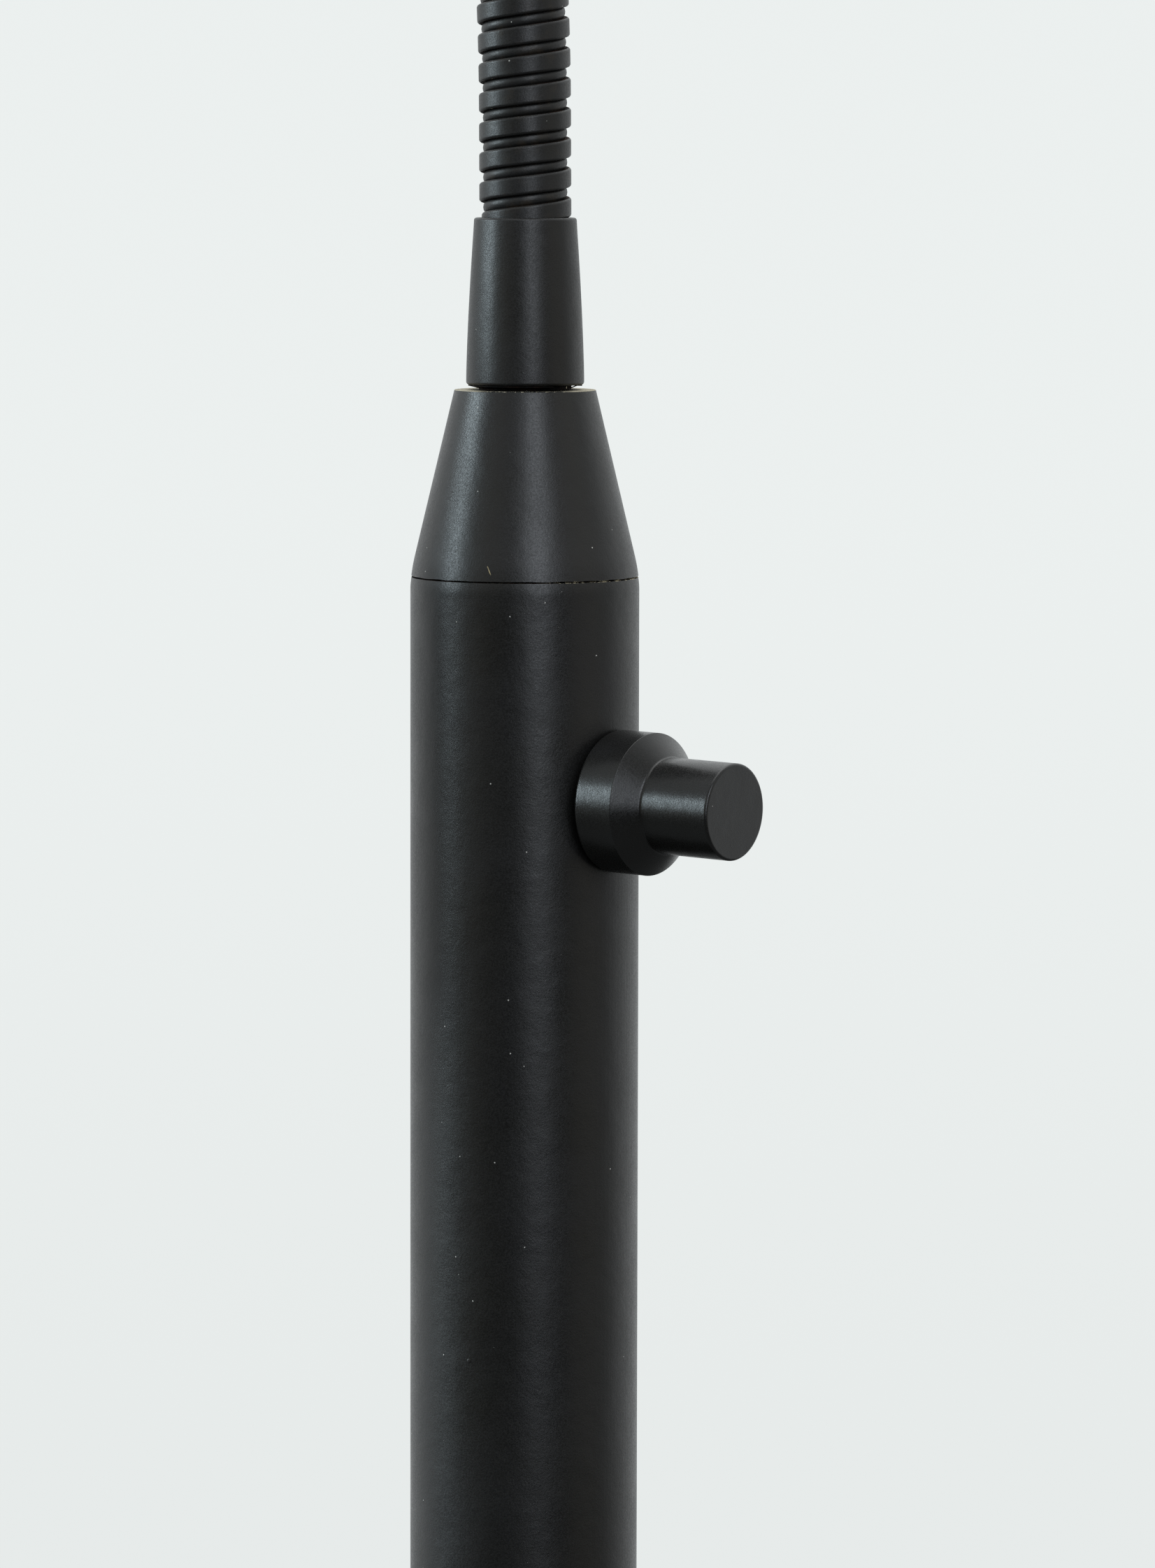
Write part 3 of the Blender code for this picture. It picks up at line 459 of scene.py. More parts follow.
def make_finishes():
    """The material of each slot in the record."""
    return {
        "satin_black_paint": satin_coat("satin_black_paint", 0.37, 1.0),
        "knob_black": satin_coat("knob_black", 0.285, 0.6),
        "plated_steel": plated_steel(),
        "cast_iron": cast_iron(),
        "brass": brass(),
        "pad_foam": pored("pad_foam", linear(38, 38, 38), linear(48, 48, 47), 0.6 * MM, 0.2 * MM, 0.85, 1.0),
        "inlet_rubber": pored("inlet_rubber", linear(30, 30, 30), linear(40, 40, 40), 0.5 * MM, 0.03 * MM,
                              0.6, 0.75),
        "moulded_nylon": pored("moulded_nylon", linear(216, 215, 206), linear(226, 225, 218), 0.4 * MM,
                               0.02 * MM, 0.45, 0.6),
        "lead_sheath": pored("lead_sheath", linear(44, 44, 44), linear(54, 54, 54), 0.8 * MM, 0.02 * MM,
                             0.45, 0.6),
        "holder_ceramic": pored("holder_ceramic", linear(226, 222, 210), linear(236, 233, 224), 0.9 * MM,
                                0.02 * MM, 0.3, 0.45),
        "bulb_white": pored("bulb_white", linear(226, 226, 222), linear(234, 234, 231), 0.7 * MM, 0.01 * MM,
                            0.28, 0.4),
        "bulb_lens": lens_plastic(),
    }


# ---------------------------------------------------------------- mesh tools

def finished(name, mesh, finish, body, stands_for=(), sharp=32):
    """Makes a finished piece of the lamp from a mesh, which moves with a body, and hides the CAD parts that
    it stands for.
    """
    mesh.materials.append(FINISHES[finish])
    mesh.shade_smooth()
    mesh.set_sharp_from_angle(angle=radians(sharp))
    obj = bpy.data.objects.new(name, mesh)
    bpy.context.scene.collection.objects.link(obj)
    if body:
        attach(obj, body)
    if stands_for:
        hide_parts(*stands_for)
    return obj


def rounded(corners, closed=True):
    """Profile points from (radius, height, fillet) corners. Each fillet is an arc with a guard point
    on both sides, which keeps its smooth shading off the flat stretches."""
    points = []
    count = len(corners)
    for i, corner in enumerate(corners):
        here = Vector(corner[:2])
        fillet = corner[2] if len(corner) > 2 else 0
        if not fillet or (not closed and i in (0, count - 1)):
            points.append(here)
            continue
        back = (Vector(corners[i - 1][:2]) - here).normalized()
        ahead = (Vector(corners[(i + 1) % count][:2]) - here).normalized()
        half = back.angle(ahead) / 2
        setback = fillet / tan(half)
        centre = here + (back + ahead).normalized() * fillet / sin(half)
        first = here + back * setback - centre
        last = here + ahead * setback - centre
        guard = 0.2 * fillet
        sweep = pi - 2 * half
        count_round = max(2, ceil(degrees(sweep) / 18))
        points.append(centre + first + back * guard)
        for k in range(count_round + 1):
            turn = sweep * k / count_round
            points.append(centre + (first * sin(sweep - turn) + last * sin(turn)) / sin(sweep))
        points.append(centre + last + ahead * guard)
    return points


def turned(profile, place=None, steps=STEPS, closed=True):
    """The mesh of a turned piece, from (radius, height) points down its outer side."""
    mesh = bpy.data.meshes.new("turned")
    body = bmesh.new()
    rings = []
    for radius, height in profile:
        if radius < 0.001 * MM:
            rings.append([body.verts.new((0, 0, height))])
            continue
        angles = [2 * pi * k / steps for k in range(steps)]
        rings.append([body.verts.new((radius * cos(a), radius * sin(a), height)) for a in angles])
    pairs = list(zip(rings, rings[1:]))
    if closed:
        pairs.append((rings[-1], rings[0]))
    for above, below in pairs:
        for k in range(steps):
            corners = [above[k % len(above)], above[(k + 1) % len(above)],
                       below[(k + 1) % len(below)], below[k % len(below)]]
            corners = list(dict.fromkeys(corners))
            if len(corners) > 2:
                body.faces.new(corners)
    bmesh.ops.recalc_face_normals(body, faces=body.faces)
    if place is not None:
        bmesh.ops.transform(body, matrix=place, verts=body.verts)
    body.to_mesh(mesh)
    body.free()
    return mesh


def drill(mesh, radius, start, end):
    """Cuts a round hole through a mesh, and returns the new mesh."""
    run = end - start
    tool = turned([(0, run.length), (radius, run.length), (radius, 0), (0, 0)],
                  Matrix.Translation(start) @ turn_to(run), steps=64, closed=False)
    blank = bpy.data.objects.new("blank", mesh)
    cutter = bpy.data.objects.new("cutter", tool)
    for obj in (blank, cutter):
        bpy.context.scene.collection.objects.link(obj)
    cut = blank.modifiers.new("Drill", "BOOLEAN")
    cut.object = cutter
    cut.solver = "EXACT"
    graph = bpy.context.evaluated_depsgraph_get()
    result = bpy.data.meshes.new_from_object(blank.evaluated_get(graph), depsgraph=graph)
    for obj in (blank, cutter):
        bpy.data.objects.remove(obj)
    return result


def turn_to(direction):
    """The rotation that stands a turned piece along a direction."""
    return Vector((0, 0, 1)).rotation_difference(direction).to_matrix().to_4x4()


def second_finish(obj, finish, test):
    """Gives the faces that pass test another finish."""
    obj.data.materials.append(FINISHES[finish])
    index = len(obj.data.materials) - 1
    for face in obj.data.polygons:
        if test(face):
            face.material_index = index


def uneven(mesh, height, depth):
    """Waves the rim of a piece at this height up and down a little."""
    for vertex in mesh.vertices:
        if abs(vertex.co.z - height) < 0.05 * MM:
            vertex.co.z += depth * waves.noise(vertex.co * (0.5 / MM))
    return mesh


def lip(radius, height, inwards, count=6):
    """Points along a tube's outside near an end, where it draws in a little. inwards is -1 for a top
    end, whose points run down, and 1 for a foot."""
    points = []
    for k in range(count + 1):
        depth = LIP_DEPTH * k / count
        points.append((radius - LIP_DROP * (1 - depth / LIP_DEPTH) ** 2, height + inwards * depth))
    return points if inwards < 0 else points[::-1]


# ---------------------------------------------------------------- base and post

def make_base():
    cover = rounded([
        (THREAD_CLEAR, BASE_TOP, 0),
        (BASE_RADIUS, BASE_TOP, COVER_EDGE),
        (BASE_RADIUS, BASE_RIM, 0.35 * MM),
        (BASE_RADIUS - COVER_WALL, BASE_RIM, 0.35 * MM),
        (BASE_RADIUS - COVER_WALL, BASE_TOP - COVER_WALL, COVER_EDGE - COVER_WALL),
        (THREAD_CLEAR, BASE_TOP - COVER_WALL, 0),
    ])
    inlet = Vector((0, BASE_RADIUS, INLET_HEIGHT))
    reach = Vector((0, INLET_REACH, 0))
    shell = drill(turned(cover, steps=BASE_STEPS), INLET_HOLE, inlet - reach, inlet + reach)
    finished("base_shell", shell, "satin_black_paint", "stand", ["base_cover"])

    pad = rounded([(0, PAD_THICK, 0), (PAD_RADIUS, PAD_THICK, 0.25 * MM), (PAD_RADIUS, 0, 0.6 * MM),
                   (0, 0, 0)], closed=False)
    finished("base_sole", turned(pad, steps=BASE_STEPS, closed=False), "pad_foam", "stand",
             ["base_pad"])

    bush = rounded([
        (GLAND_RADIUS, GLAND_LIP, 0.9 * MM),
        (GLAND_RADIUS, GAP, 0.3 * MM),
        (INLET_HOLE - GAP, GAP, 0.2 * MM),
        (INLET_HOLE - GAP, -GLAND_DEPTH, 0.5 * MM),
        (GLAND_BORE, -GLAND_DEPTH, 0.3 * MM),
        (GLAND_BORE, GLAND_LIP, 0.7 * MM),
    ])
    along = Matrix.Translation(inlet) @ turn_to(Vector((0, 1, 0)))
    finished("inlet_bush", turned(bush, along, steps=64), "inlet_rubber", "stand",
             ["base_gland"])


def make_post():
    foot = low_of("post_collar")
    collar = rounded([
        (POST_RADIUS + GAP, COLLAR_TOP, 0.3 * MM),
        (POST_RADIUS + COLLAR_REACH, COLLAR_TOP, COLLAR_EDGE),
        (POST_RADIUS + COLLAR_REACH, foot, 0.25 * MM),
        (POST_RADIUS + GAP, foot, 0),
    ])
    finished("foot_collar", turned(collar), "satin_black_paint", "stand",
             ["post_collar"])

    edge = 0.12 * MM
    lower = [
        *lip(POST_RADIUS, POST_JOINT - SEAM_GAP / 2, -1),
        (POST_RADIUS, POST_FOOT + edge),
        (POST_RADIUS - edge, POST_FOOT),
        (POST_BORE, POST_FOOT),
        (POST_BORE, POST_JOINT - SEAM_GAP / 2),
    ]
    finished("post_tube_lower", turned(lower), "satin_black_paint", "stand",
             ["post_lower"])

    upper = [
        (POST_BORE, SEAM - SEAM_GAP / 2),
        (POST_RADIUS - LIP_DROP - 0.1 * MM, SEAM - SEAM_GAP / 2),
        *lip(POST_RADIUS, SEAM - SEAM_GAP / 2 - 0.04 * MM, -1),
        *lip(POST_RADIUS, POST_JOINT + SEAM_GAP / 2, 1),
        (POST_BORE, POST_JOINT + SEAM_GAP / 2),
    ]
    tube = drill(turned(upper), BUSH_HOLE, KNOB_AT + BUSH_HOLE_START * KNOB_DIR,
                 KNOB_AT + BUSH_HOLE_END * KNOB_DIR)
    tube = finished("post_tube_upper", tube, "satin_black_paint", "stand",
                    ["post_upper"])
    second_finish(tube, "seam_grime", lambda face: face.center.z > SEAM - SEAM_GAP / 2 - 0.035 * MM)


# ---------------------------------------------------------------- caps, washers and ferrules

def cone(top_radius, low_radius, height, ceiling, spigot, wall, ceiling_radius):
    """A cone cap's profile, from its seam at height 0. Its flank eases into the tube below it."""
    slope = (low_radius - top_radius) / height
    ease = CAP_LIP_HEIGHT
    count = 8
    start = top_radius + slope * (height - ease)
    bottom = SEAM_GAP / 2
    easing = []
    for k in range(count + 1):
        fall = (ease - bottom) * k / count
        turn = (slope - CAP_LIP_SLOPE) * fall / (ease - bottom)
        easing.append((start + fall * (slope - turn / 2), ease - fall))
    lip_edge = easing.pop()
    edge = rounded([(THREAD_CLEAR, height, 0), (top_radius, height, 0.12 * MM),
                    (start, ease, 0)], closed=False)[1:-1]
    return [
        *edge,
        *easing,
        (lip_edge[0], lip_edge[1] + 0.04 * MM),
        (lip_edge[0] - 0.05 * MM, bottom),
        (spigot, bottom),
        (spigot, -SPIGOT_DEPTH),
        (spigot - wall, -SPIGOT_DEPTH),
        (spigot - wall, SPIGOT_RISE),
        (ceiling_radius, ceiling),
        (THREAD_CLEAR, ceiling),
        (THREAD_CLEAR, height),
    ]


def ferrule():
    """A tapered sleeve's profile, from its foot at height 0."""
    count = 26
    edge = 0.3 * MM
    taper = []
    for k in range(count + 1):
        share = k / count
        radius = FERRULE_WIDE - (FERRULE_WIDE - FERRULE_NARROW) * (1 - share) ** FERRULE_CURVE
        taper.append((radius, FERRULE_HEIGHT - edge - share * (FERRULE_HEIGHT - 2.2 * edge)))
    foot = rounded([taper[-2], (FERRULE_WIDE, 0, 0.4 * MM), (WASHER_SEAT, 0, 0)], closed=False)[1:-1]
    bore = NECK_RADIUS + MOUTH_CLEAR
    mouth = rounded([(bore, FERRULE_HEIGHT - 2 * MM, 0), (bore, FERRULE_HEIGHT, 0.12 * MM),
                     (FERRULE_NARROW, FERRULE_HEIGHT, 0.36 * MM), taper[2]], closed=False)[1:-1]
    thread_top = FERRULE_HEIGHT - NECK_INSERT - 0.6 * MM
    return [
        *mouth,
        *taper[2:-1],
        *foot,
        (WASHER_SEAT, 0),
        (WASHER_SEAT, WASHER_SEAT_DEPTH),
        (THREAD_CLEAR, WASHER_SEAT_DEPTH),
        (THREAD_CLEAR, thread_top),
        (bore, thread_top),
    ]


def in_bore(point, x, foot):
    """Whether a point of a ferrule lies in its mouth or its bore."""
    near = hypot(point.x - x, point.y) < NECK_RADIUS + MOUTH_RIM
    return near and point.z > foot + FERRULE_HEIGHT / 2


def strip_of(body, sections):
    """Adds a closed bar through a list of four-cornered sections to a bmesh."""
    rings = [[body.verts.new(point) for point in section] for section in sections]
    for here, there in zip(rings, rings[1:]):
        for k in range(4):
            body.faces.new((here[k], here[(k + 1) % 4], there[(k + 1) % 4], there[k]))
    body.faces.new(rings[0])
    body.faces.new(rings[-1])


def spring_washer(place):
    """A dished lock washer. Its thin rim springs up to the ferrule's edge, and on the right, where
    the rim is cut away, a narrow blade springs up instead."""
    inner = THREAD_CLEAR + 0.1 * MM
    ring = rounded([
        (inner, WASHER_HIGH, 0),
        (WASHER_RADIUS, WASHER_HIGH, 0.1 * MM),
        (WASHER_RADIUS, WASHER_LOW, 0.1 * MM),
        (inner, WASHER_LOW, 0),
    ])
    body = bmesh.new()
    body.from_mesh(turned(ring, steps=96))
    root = WASHER_RADIUS - RIM_TUCK
    rim = [
        (root, RIM_LOW),
        (RIM_RADIUS, RIM_HIGH),
        (RIM_RADIUS, RIM_HIGH + RIM_THICK),
        (root, RIM_LOW + 2.5 * RIM_THICK),
    ]
    steps = 60
    sections = []
    for k in range(steps + 1):
        angle = radians(150 + 240 * k / steps)
        sections.append([(r * sin(angle), -r * cos(angle), z) for r, z in rim])
    strip_of(body, sections)
    steps = 10
    sections = []
    for k in range(steps + 1):
        share = k / steps
        reach = root + (RIM_RADIUS - root) * share
        lift = RIM_LOW + (RIM_HIGH - RIM_LOW) * min(1, 1.7 * share)
        sections.append([
            (reach, -BLADE_HALF_WIDTH, lift),
            (reach, BLADE_HALF_WIDTH, lift),
            (reach, BLADE_HALF_WIDTH, lift + RIM_THICK),
            (reach, -BLADE_HALF_WIDTH, lift + RIM_THICK),
        ])
    strip_of(body, sections)
    bmesh.ops.recalc_face_normals(body, faces=body.faces)
    bmesh.ops.transform(body, matrix=place, verts=body.verts)
    mesh = bpy.data.meshes.new("washer")
    body.to_mesh(mesh)
    body.free()
    return mesh


def make_caps():
    height = CAP_TOP - SEAM
    cap = cone(CAP_TOP_RADIUS, CAP_TOP_RADIUS + CAP_SLOPE * height, height, CAP_CEILING,
               POST_BORE - GAP, SPIGOT_WALL, CAP_BORE)
    shell = turned(cap, Matrix.Translation((0, 0, SEAM)), steps=160)
    shell = uneven(shell, SEAM + SEAM_GAP / 2, 0.07 * MM)
    piece = finished("cap_cone", shell, "cone_black", "stand", ["cone_cap"])
    # The cone's top face: pale dust, with its middle left dark as painted shade under the ferrule.
    second_finish(piece, "dust_and_painted_shade", lambda face: face.center.z > CAP_TOP - 0.05 * MM)
    second_finish(piece, "seam_grime", lambda face: face.center.z < SEAM + SEAM_GAP / 2 + 0.03 * MM)

    washer = spring_washer(Matrix.Translation((0, 0, CAP_TOP)))
    # The washer's near-black paint is partly painted shade, for the shade in the gap under the ferrule.
    finished("spring_washer", washer, "washer_soot_and_painted_shade", "stand", ["swivel_washer"])

    sleeve = turned(ferrule(), Matrix.Translation((0, 0, FERRULE_FOOT)))
    piece = finished("arm_ferrule", sleeve, "ferrule_black", "arm_foot",
                     ["ferrule_lower"])
    second_finish(piece, "crevice_grime", lambda face: in_bore(face.center, 0, FERRULE_FOOT))


# ---------------------------------------------------------------- knob

def make_knob():
    cone_start = KNOB_BACK + FLANGE_LENGTH
    stem_start = cone_start + STEM_CONE
    outline = rounded([
        (0, KNOB_END, 0),
        (STEM_RADIUS, KNOB_END, 0.35 * MM),
        (STEM_RADIUS, stem_start, 0.45 * MM),
        (FLANGE_RADIUS, cone_start, 0.12 * MM),
        (FLANGE_RADIUS, KNOB_BACK, 0.35 * MM),
        (KNOB_WELL, KNOB_BACK, 0.2 * MM),
        (KNOB_WELL, KNOB_FLOOR, 0),
        (KNOB_BORE, KNOB_FLOOR, 0),
        (KNOB_BORE, KNOB_END - KNOB_CROWN, 0),
        (0, KNOB_END - KNOB_CROWN, 0),
    ], closed=False)
    mesh = turned(outline, Matrix.Translation(KNOB_AT) @ turn_to(KNOB_DIR), closed=False)
    finished("dimmer_knob", mesh, "knob_black", "dial", ["knob"])


# ---------------------------------------------------------------- gooseneck

def bend_chain():
    """The gooseneck's hinge points from its ferrule to the head, with the two mouths at its ends, and
    the bodies between them, all read from the frame's joints."""
    by_parent = {joint["parent"]: joint for joint in frame["joints"] if joint["parent"] != "stand"}
    bodies = ["arm_foot"]
    hinges = []
    while bodies[-1] in by_parent:
        joint = by_parent[bodies[-1]]
        hinges.append(Vector(joint["pos_m"]))
        bodies.append(joint["child"])
    mouth = Vector((0, 0, top_of("ferrule_lower")))
    head_mouth = Vector((HEAD_AT.x, 0, top_of("ferrule_upper")))
    return [mouth, *hinges, head_mouth], bodies


def heading_angle(run):
    """The lean from upright towards -X, in radians."""
    return float(np.arctan2(-run.x, run.z))


class Centreline:
    """The gooseneck's centreline: straight into its ferrules, and an arc across each hinge."""

    def __init__(self, points):
        runs = [b - a for a, b in zip(points, points[1:])]
        angles = [heading_angle(run) for run in runs]
        self.reach = runs[1].length / 2  # from a hinge to the middle of a link
        self.spans = []  # start length, start point, start angle, bend per metre
        self.cuts = []  # lengths at the middles of the links
        at = 0.0
        self.spans.append((at, points[0], angles[0], 0.0))
        at += runs[0].length - self.reach
        for i, hinge in enumerate(points[1:-1]):
            bend = angles[i + 1] - angles[i]
            start = hinge - runs[i].normalized() * self.reach
            length = self.reach * bend / tan(bend / 2)
            self.cuts.append(at)
            self.spans.append((at, start, angles[i], bend / length))
            at += length
        self.cuts.append(at)
        last = points[-2] + runs[-1].normalized() * self.reach
        self.spans.append((at, last, angles[-1], 0.0))
        self.length = at + runs[-1].length - self.reach

    def place(self, lengths):
        """Arrays of points (x, z) and lean angles at these lengths along the line."""
        x = np.zeros_like(lengths)
        z = np.zeros_like(lengths)
        angle = np.zeros_like(lengths)
        starts = np.array([span[0] for span in self.spans])
        index = np.searchsorted(starts, lengths, side="right") - 1
        index = np.clip(index, 0, len(self.spans) - 1)
        for i, (start, point, lean, rate) in enumerate(self.spans):
            here = index == i
            along = lengths[here] - start
            now = lean + rate * along
            if rate:
                x[here] = point.x + (np.cos(now) - cos(lean)) / rate
                z[here] = point.z + (np.sin(now) - sin(lean)) / rate
            else:
                x[here] = point.x - sin(lean) * along
                z[here] = point.z + cos(lean) * along
            angle[here] = now
        return x, z, angle

    def warp(self, radius, around, lengths):
        """World points of (radius, azimuth, length) points of a straight upright gooseneck."""
        x, z, angle = self.place(lengths)
        side = radius * np.sin(around)
        x = x + side * np.cos(angle)
        z = z + side * np.sin(angle)
        return np.stack((x, -radius * np.cos(around), z), -1)


def band_section():
    """The flat strip's (radius, length) outline: a flat face with round corners, and flanks that
    wedge between the round wires."""
    outer = rounded([
        (NECK_RADIUS - 1.9 * MM, -0.5 * MM, 0),
        (NECK_RADIUS - 1.25 * MM, -0.98 * MM, 0),
        (NECK_RADIUS - 0.6 * MM, -BAND_HALF, 0),
        (NECK_RADIUS, -BAND_HALF, BAND_CORNER),
        (NECK_RADIUS, BAND_HALF, BAND_CORNER),
        (NECK_RADIUS - 0.6 * MM, BAND_HALF, 0),
        (NECK_RADIUS - 1.25 * MM, 0.98 * MM, 0),
        (NECK_RADIUS - 1.9 * MM, 0.5 * MM, 0),
    ])
    return np.array([tuple(point) for point in outer])


def wire_section(sides=14):
    angles = np.arange(sides) * 2 * pi / sides
    centre = WIRE_CREST - WIRE_HALF_DEPTH
    return np.stack((centre + WIRE_HALF_DEPTH * np.cos(angles), WIRE_HALF_WIDTH * np.sin(angles)), -1)


def swept(sections):
    """A closed mesh through a list of equal rings of points."""
    count, sides = sections.shape[:2]
    quads = []
    for i in range(count - 1):
        for k in range(sides):
            n = (k + 1) % sides
            quads.append((i * sides + k, i * sides + n, (i + 1) * sides + n, (i + 1) * sides + k))
    quads.append(tuple(range(sides)))
    quads.append(tuple(range((count - 1) * sides, count * sides)))
    mesh = bpy.data.meshes.new("swept")
    mesh.from_pydata(sections.reshape(-1, 3).tolist(), [], quads)
    body = bmesh.new()
    body.from_mesh(mesh)
    bmesh.ops.recalc_face_normals(body, faces=body.faces)
    body.to_mesh(mesh)
    body.free()
    return mesh


def wound(line, section, phase, start, end):
    """One stretch of a helical winding between two lengths. It starts and ends one section inside its
    neighbours, drawn in a little, so that no joint between two stretches shows."""
    first = int(np.ceil((start - phase) / NECK_PITCH * NECK_STEPS)) - 1
    last = int(np.ceil((end - phase) / NECK_PITCH * NECK_STEPS)) + 1
    turns = np.arange(first, last + 1) / NECK_STEPS
    around = (turns * 2 * pi)[:, None]
    centre = section.mean(0)
    shape = np.broadcast_to(section, (len(turns), *section.shape)).copy()
    for end_ring in (0, -1):
        shape[end_ring] = centre + (shape[end_ring] - centre) * 0.95
    middles = phase + (turns * NECK_PITCH)[:, None]
    lengths = middles + shape[..., 1]
    tuck = TUCK_DEPTH * np.clip((TUCK_START - middles) / TUCK_RUN, 0, 1)
    radius = shape[..., 0] - tuck
    return swept(line.warp(radius, np.broadcast_to(around, radius.shape), lengths))


def make_neck():
    points, bodies = bend_chain()
    line = Centreline(points)
    starts = [-NECK_INSERT, *line.cuts[1:-1]]
    ends = [*line.cuts[1:-1], line.length + NECK_INSERT]
    band = band_section()
    wire = wire_section()
    band_phase = WIRE_PHASE - NECK_PITCH / 2
    inner = np.minimum(band[:, 0], np.roll(band[:, 0], -1))
    flanks = set(np.flatnonzero(inner < NECK_RADIUS - FLANK_DEPTH).tolist())
    for i, (start, end) in enumerate(zip(starts, ends)):
        blend_from, blend_to = blend_ends(line, i)
        number = i + 1
        links = neck_nodes(number, "neck", len(starts))
        leads = neck_nodes(number, "lead", len(starts))
        strip = finished(f"neck_strip_{number}", wound(line, band, band_phase, start, end), "neck_black",
                         None, links)
        second_finish(strip, "crevice_grime", lambda face: face.index % len(band) in flanks)
        coil = finished(f"neck_wire_{number}", wound(line, wire, WIRE_PHASE, start, end), "neck_wire_black",
                        None)
        core = finished(f"neck_lead_{number}", lead_run(line, start, end, number == len(starts)),
                        "lead_sheath", None, leads)
        for piece in (strip, coil, core):
            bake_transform(piece)


def neck_nodes(number, kind, count):
    """The CAD lengths that one stretch stands for: its own, and at the ends the stub too."""
    nodes = [f"{kind}_link_{number}"] if number < count else [f"{kind}_stub_upper"]
    if number == 1:
        nodes.append(f"{kind}_stub_lower")
    return nodes


def blend_ends(line, i):
    """The centreline's points at the two cuts that bound a stretch."""
    x, z, _ = line.place(np.array([line.cuts[i], line.cuts[i + 1]]))
    return (x[0], 0, z[0]), (x[1], 0, z[1])


def lead_run(line, start, end, last, step=2.6 * MM, sides=12):
    """A stretch of the lamp lead, on the winding's centreline."""
    if last:
        end += LEAD_TAIL
    count = max(2, round((end - start) / step))
    lengths = np.linspace(start, end, count + 1)[:, None]
    around = np.arange(sides)[None, :] * 2 * pi / sides
    lengths, around = np.broadcast_arrays(lengths, around)
    return swept(line.warp(np.full(lengths.shape, LEAD_RADIUS), around, lengths.copy()))


# ---------------------------------------------------------------- head

def make_head():
    top = Matrix.Translation((HEAD_AT.x, 0, HEAD_TOP))
    seam = Matrix.Translation((HEAD_AT.x, 0, HEAD_TOP - HEAD_CAP_HEIGHT))
    foot = low_of("ferrule_upper")
    sleeve = turned(ferrule(), Matrix.Translation((HEAD_AT.x, 0, foot)))
    piece = finished("head_ferrule", sleeve, "ferrule_black", "head",
                     ["ferrule_upper"])
    second_finish(piece, "crevice_grime", lambda face: in_bore(face.center, HEAD_AT.x, foot))
    # The washer's near-black paint is partly painted shade, for the shade in the gap under the ferrule.
    finished("head_spring_washer", spring_washer(top), "washer_soot_and_painted_shade", "head",
             ["head_washer"])

    bore = HEAD_RADIUS - HEAD_WALL
    cap = cone(CAP_TOP_RADIUS, HEAD_RADIUS + 0.02 * MM, HEAD_CAP_HEIGHT, HEAD_CAP_HEIGHT - HEAD_CEILING,
               bore - GAP, HEAD_SPIGOT_WALL, HEAD_CAP_BORE)
    finished("head_cone", turned(cap, seam, steps=192), "satin_black_paint", "head",
             ["head_cap"])

    mouth = -HEAD_LENGTH
    rim = rounded([(HEAD_RADIUS, 0, 0), (HEAD_RADIUS, mouth, 0.5 * MM), (bore, mouth, 0.5 * MM),
                   (bore, 0, 0)], closed=False)
    shade = [*lip(HEAD_RADIUS, -HEAD_CAP_HEIGHT - GAP / 2, -1), *rim[1:-1],
             (bore, -HEAD_CAP_HEIGHT - GAP / 2)]
    finished("shade_tube", turned(shade, top, steps=192), "satin_black_paint", "head",
             ["head_shade"])

    count = 20
    length = BULB_FACE - BULB_SEAT - BULB_RIM
    outer = []
    for k in range(count + 1):
        share = k / count
        radius = BULB_NECK + (BULB_RADIUS - BULB_NECK) * sin(share * pi / 2) ** 0.8
        outer.append((radius, -BULB_SEAT - length * share))
    inner = [(radius - BULB_WALL, height) for radius, height in reversed(outer[4:])]
    rim_in = BULB_RADIUS - BULB_WALL
    face = rounded([outer[-1], (BULB_RADIUS, -BULB_FACE, 0.5 * MM), (rim_in, -BULB_FACE, 0.4 * MM),
                    inner[0]], closed=False)[1:-1]
    bulb = [(0, -BULB_SEAT), *outer, *face, *inner, (0, inner[-1][1])]
    finished("bulb_shell", turned(bulb, top, closed=False), "bulb_white", "head",
             ["bulb_body"])

    lens_top = -BULB_FACE + LENS_DEPTH
    lens_radius = rim_in - GAP
    dome = []
    for k in range(13):
        share = k / 12
        drop = LENS_CROWN * (1 - (1 - share) ** 2)
        dome.append((lens_radius * (1 - share), -BULB_FACE + LENS_EDGE - drop))
    lens = [(0, lens_top), (lens_radius, lens_top), *dome]
    finished("bulb_front_lens", turned(lens, top, closed=False), "bulb_lens", "head",
             ["bulb_lens"])


# ---------------------------------------------------------------- studio

BACKDROP = linear(235.5, 239.6, 238.7)


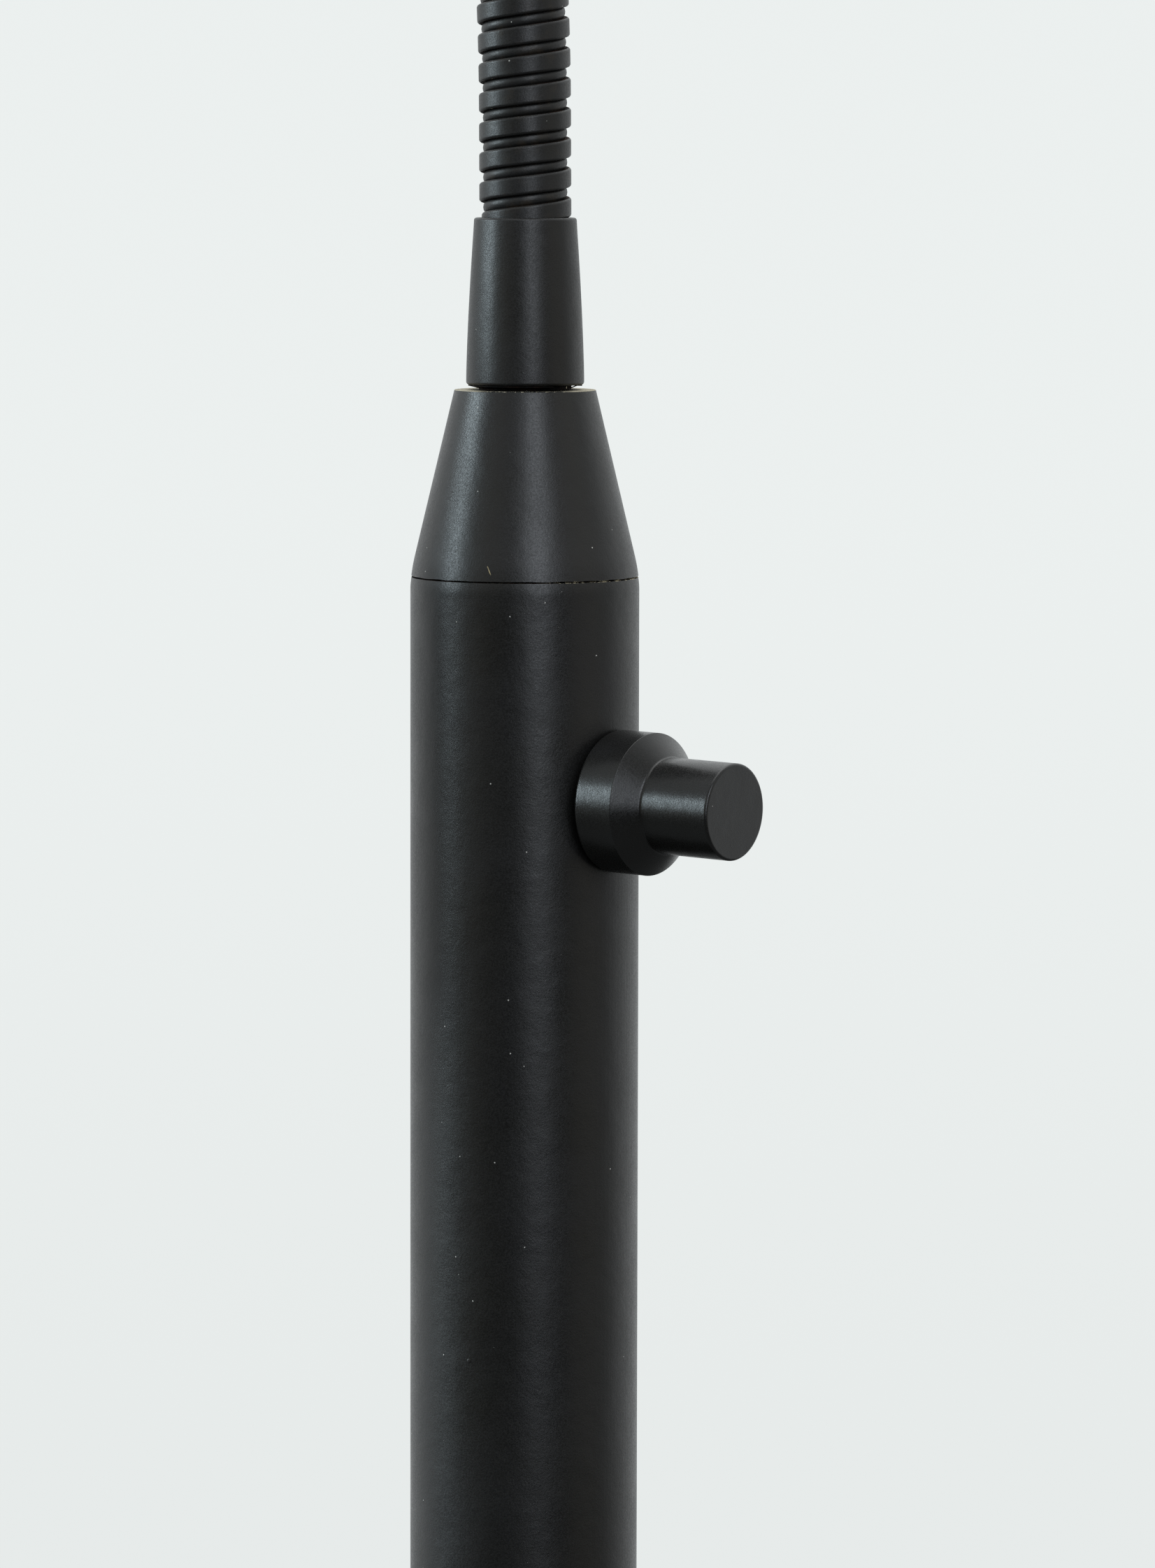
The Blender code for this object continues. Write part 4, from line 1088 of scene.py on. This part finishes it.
def make_floor():
    """A pale floor under the lamp, which fades into the backdrop's colour further out."""
    radius = 7.0
    body = bmesh.new()
    bmesh.ops.create_circle(body, cap_ends=True, segments=96, radius=radius)
    mesh = bpy.data.meshes.new("floor")
    body.to_mesh(mesh)
    body.free()
    material = bpy.data.materials.new("studio_floor")
    material.use_nodes = True
    tree = material.node_tree
    shader = tree.nodes["Principled BSDF"]
    place = node(tree, "TexCoord").outputs["Object"]
    grain = noise(tree, place, 0.03, 4)
    tree.links.new(mixed(tree, grain, linear(141, 143, 142), linear(149, 151, 150)), shader.inputs[0])
    shader.inputs["Roughness"].default_value = 0.75
    shader.inputs["Emission Color"].default_value = BACKDROP
    shader.inputs["Emission Strength"].default_value = 0.50
    dim = node(tree, "BsdfDiffuse", {"Color": (0.10, 0.10, 0.10, 1)})
    seen = node(tree, "LightPath").outputs["Is Camera Ray"]
    ground = node(tree, "MixShader", {0: seen, 1: dim.outputs[0], 2: shader.outputs[0]})
    out = node(tree, "VectorMath", {0: place}, operation="LENGTH").outputs["Value"]
    fade = between(tree, out, 1.2, 4.2)
    clear = node(tree, "BsdfTransparent")
    both = node(tree, "MixShader", {0: fade, 1: ground.outputs[0], 2: clear.outputs[0]})
    tree.links.new(both.outputs[0], tree.nodes["Material Output"].inputs["Surface"])
    mesh.materials.append(material)
    floor = bpy.data.objects.new("studio_floor", mesh)
    bpy.context.scene.collection.objects.link(floor)


def make_world():
    """A pale room: bright behind the lamp and dim before it. What the camera sees of it directly is
    an even backdrop, a little darker towards the bottom."""
    world = bpy.data.worlds.new("studio")
    bpy.context.scene.world = world
    world.use_nodes = True
    tree = world.node_tree
    tree.nodes.clear()
    split = node(tree, "SeparateXYZ", {0: node(tree, "TexCoord").outputs["Generated"]})
    behind = between(tree, split.outputs["Y"], -0.45, 0.6, 0.02, 0.80)
    above = between(tree, split.outputs["Z"], 0.0, 0.6, 0.0, 0.35)
    glow = maths(tree, "ADD", behind, above)
    room = node(tree, "Background", {"Color": linear(250, 254, 255), "Strength": glow})
    low = between(tree, split.outputs["Z"], -0.20, -0.04, 0.955, 1.0)
    backdrop = node(tree, "Background", {"Color": BACKDROP, "Strength": low})
    seen = node(tree, "LightPath").outputs["Is Camera Ray"]
    both = node(tree, "MixShader", {0: seen, 1: room.outputs[0], 2: backdrop.outputs[0]})
    node(tree, "OutputWorld", {"Surface": both.outputs[0]})


def softbox(name, azimuth, elevation, distance, width, height, radiance, tint=(1, 1, 1)):
    """A rectangular lamp that faces the top of the post."""
    lamp = bpy.data.lights.new(name, "AREA")
    lamp.shape = "RECTANGLE"
    lamp.size = width
    lamp.size_y = height
    lamp.energy = radiance * pi * width * height
    lamp.color = tint
    obj = bpy.data.objects.new(name, lamp)
    bpy.context.scene.collection.objects.link(obj)
    aim = towards(azimuth, elevation)
    obj.location = Vector((0, 0, SEAM)) + aim * distance
    obj.rotation_euler = aim.to_track_quat("Z", "Y").to_euler()
    obj.visible_camera = False


def make_lights():
    softbox("left_key", -88, 11, 1.8, 0.72, 0.64, 15.0, (0.78, 0.93, 1.0))
    softbox("left_fill", -60, -3, 1.9, 1.1, 0.7, 0.24, (1.0, 0.97, 0.88))
    softbox("left_sky", -42, 17, 2.2, 1.3, 1.5, 0.30, (1.0, 0.96, 0.84))
    softbox("front_key", 15, 22, 2.0, 0.80, 1.9, 3.5, (0.86, 0.92, 1.0))
    softbox("right_fill", 64, 10, 2.2, 1.4, 2.0, 0.40, (1.0, 0.97, 0.88))
    softbox("overhead", 180, 82, 2.6, 2.4, 2.4, 1.2)


def make_camera():
    camera = bpy.data.cameras.new("camera")
    camera.sensor_width = 36
    camera.lens = 165.4
    obj = bpy.data.objects.new("camera", camera)
    bpy.context.scene.collection.objects.link(obj)
    obj.location = (6.95 * MM, -0.942, SEAM + 57.9 * MM)
    tilt = Matrix.Rotation(radians(90 - 5.17), 4, "X")
    roll = Matrix.Rotation(radians(0.12), 4, "Z")
    obj.rotation_euler = (tilt @ roll).to_euler()
    bpy.context.scene.camera = obj


# ---------------------------------------------------------------- the scene

FINISHES = make_finishes()
CONE_SCRATCHES = [
    ((-4.75 * MM, SEAM + 2.1 * MM), (-4.3 * MM, SEAM + 0.95 * MM), 0.13 * MM),
]
FINISHES["cone_black"] = satin_coat("cone_black", 0.37, 1.0, scratches=CONE_SCRATCHES)
FINISHES["ferrule_black"] = satin_coat("ferrule_black", 0.41, 1.0)
FINISHES["neck_black"] = satin_coat("neck_black", 0.43, 1.0, wear=0.35)
FINISHES["neck_wire_black"] = satin_coat("neck_wire_black", 0.46, 1.0, wear=0.7)
# Near black with some rust: partly painted shade, for the shade in the gaps under the ferrules.
FINISHES["washer_soot_and_painted_shade"] = grimy("washer_soot_and_painted_shade", 0.3)
FINISHES["crevice_grime"] = grimy("crevice_grime", 1.0)
FINISHES["seam_grime"] = grimy("seam_grime", 0.5, dust_side=1)
# Dust on the cone's top face; its bare middle is painted shade.
FINISHES["dust_and_painted_shade"] = satin_coat("dust_and_painted_shade", 0.65, 1.0, dust=0.9, gloss=0.15)

for name, obj in frame["nodes"].items():
    for holder in obj.material_slots:
        holder.material = FINISHES[SLOTS[name]]

make_base()
make_post()
make_caps()
make_knob()
make_neck()
make_head()
make_floor()
make_world()
make_lights()
make_camera()
bpy.context.scene.view_settings.view_transform = "Standard"
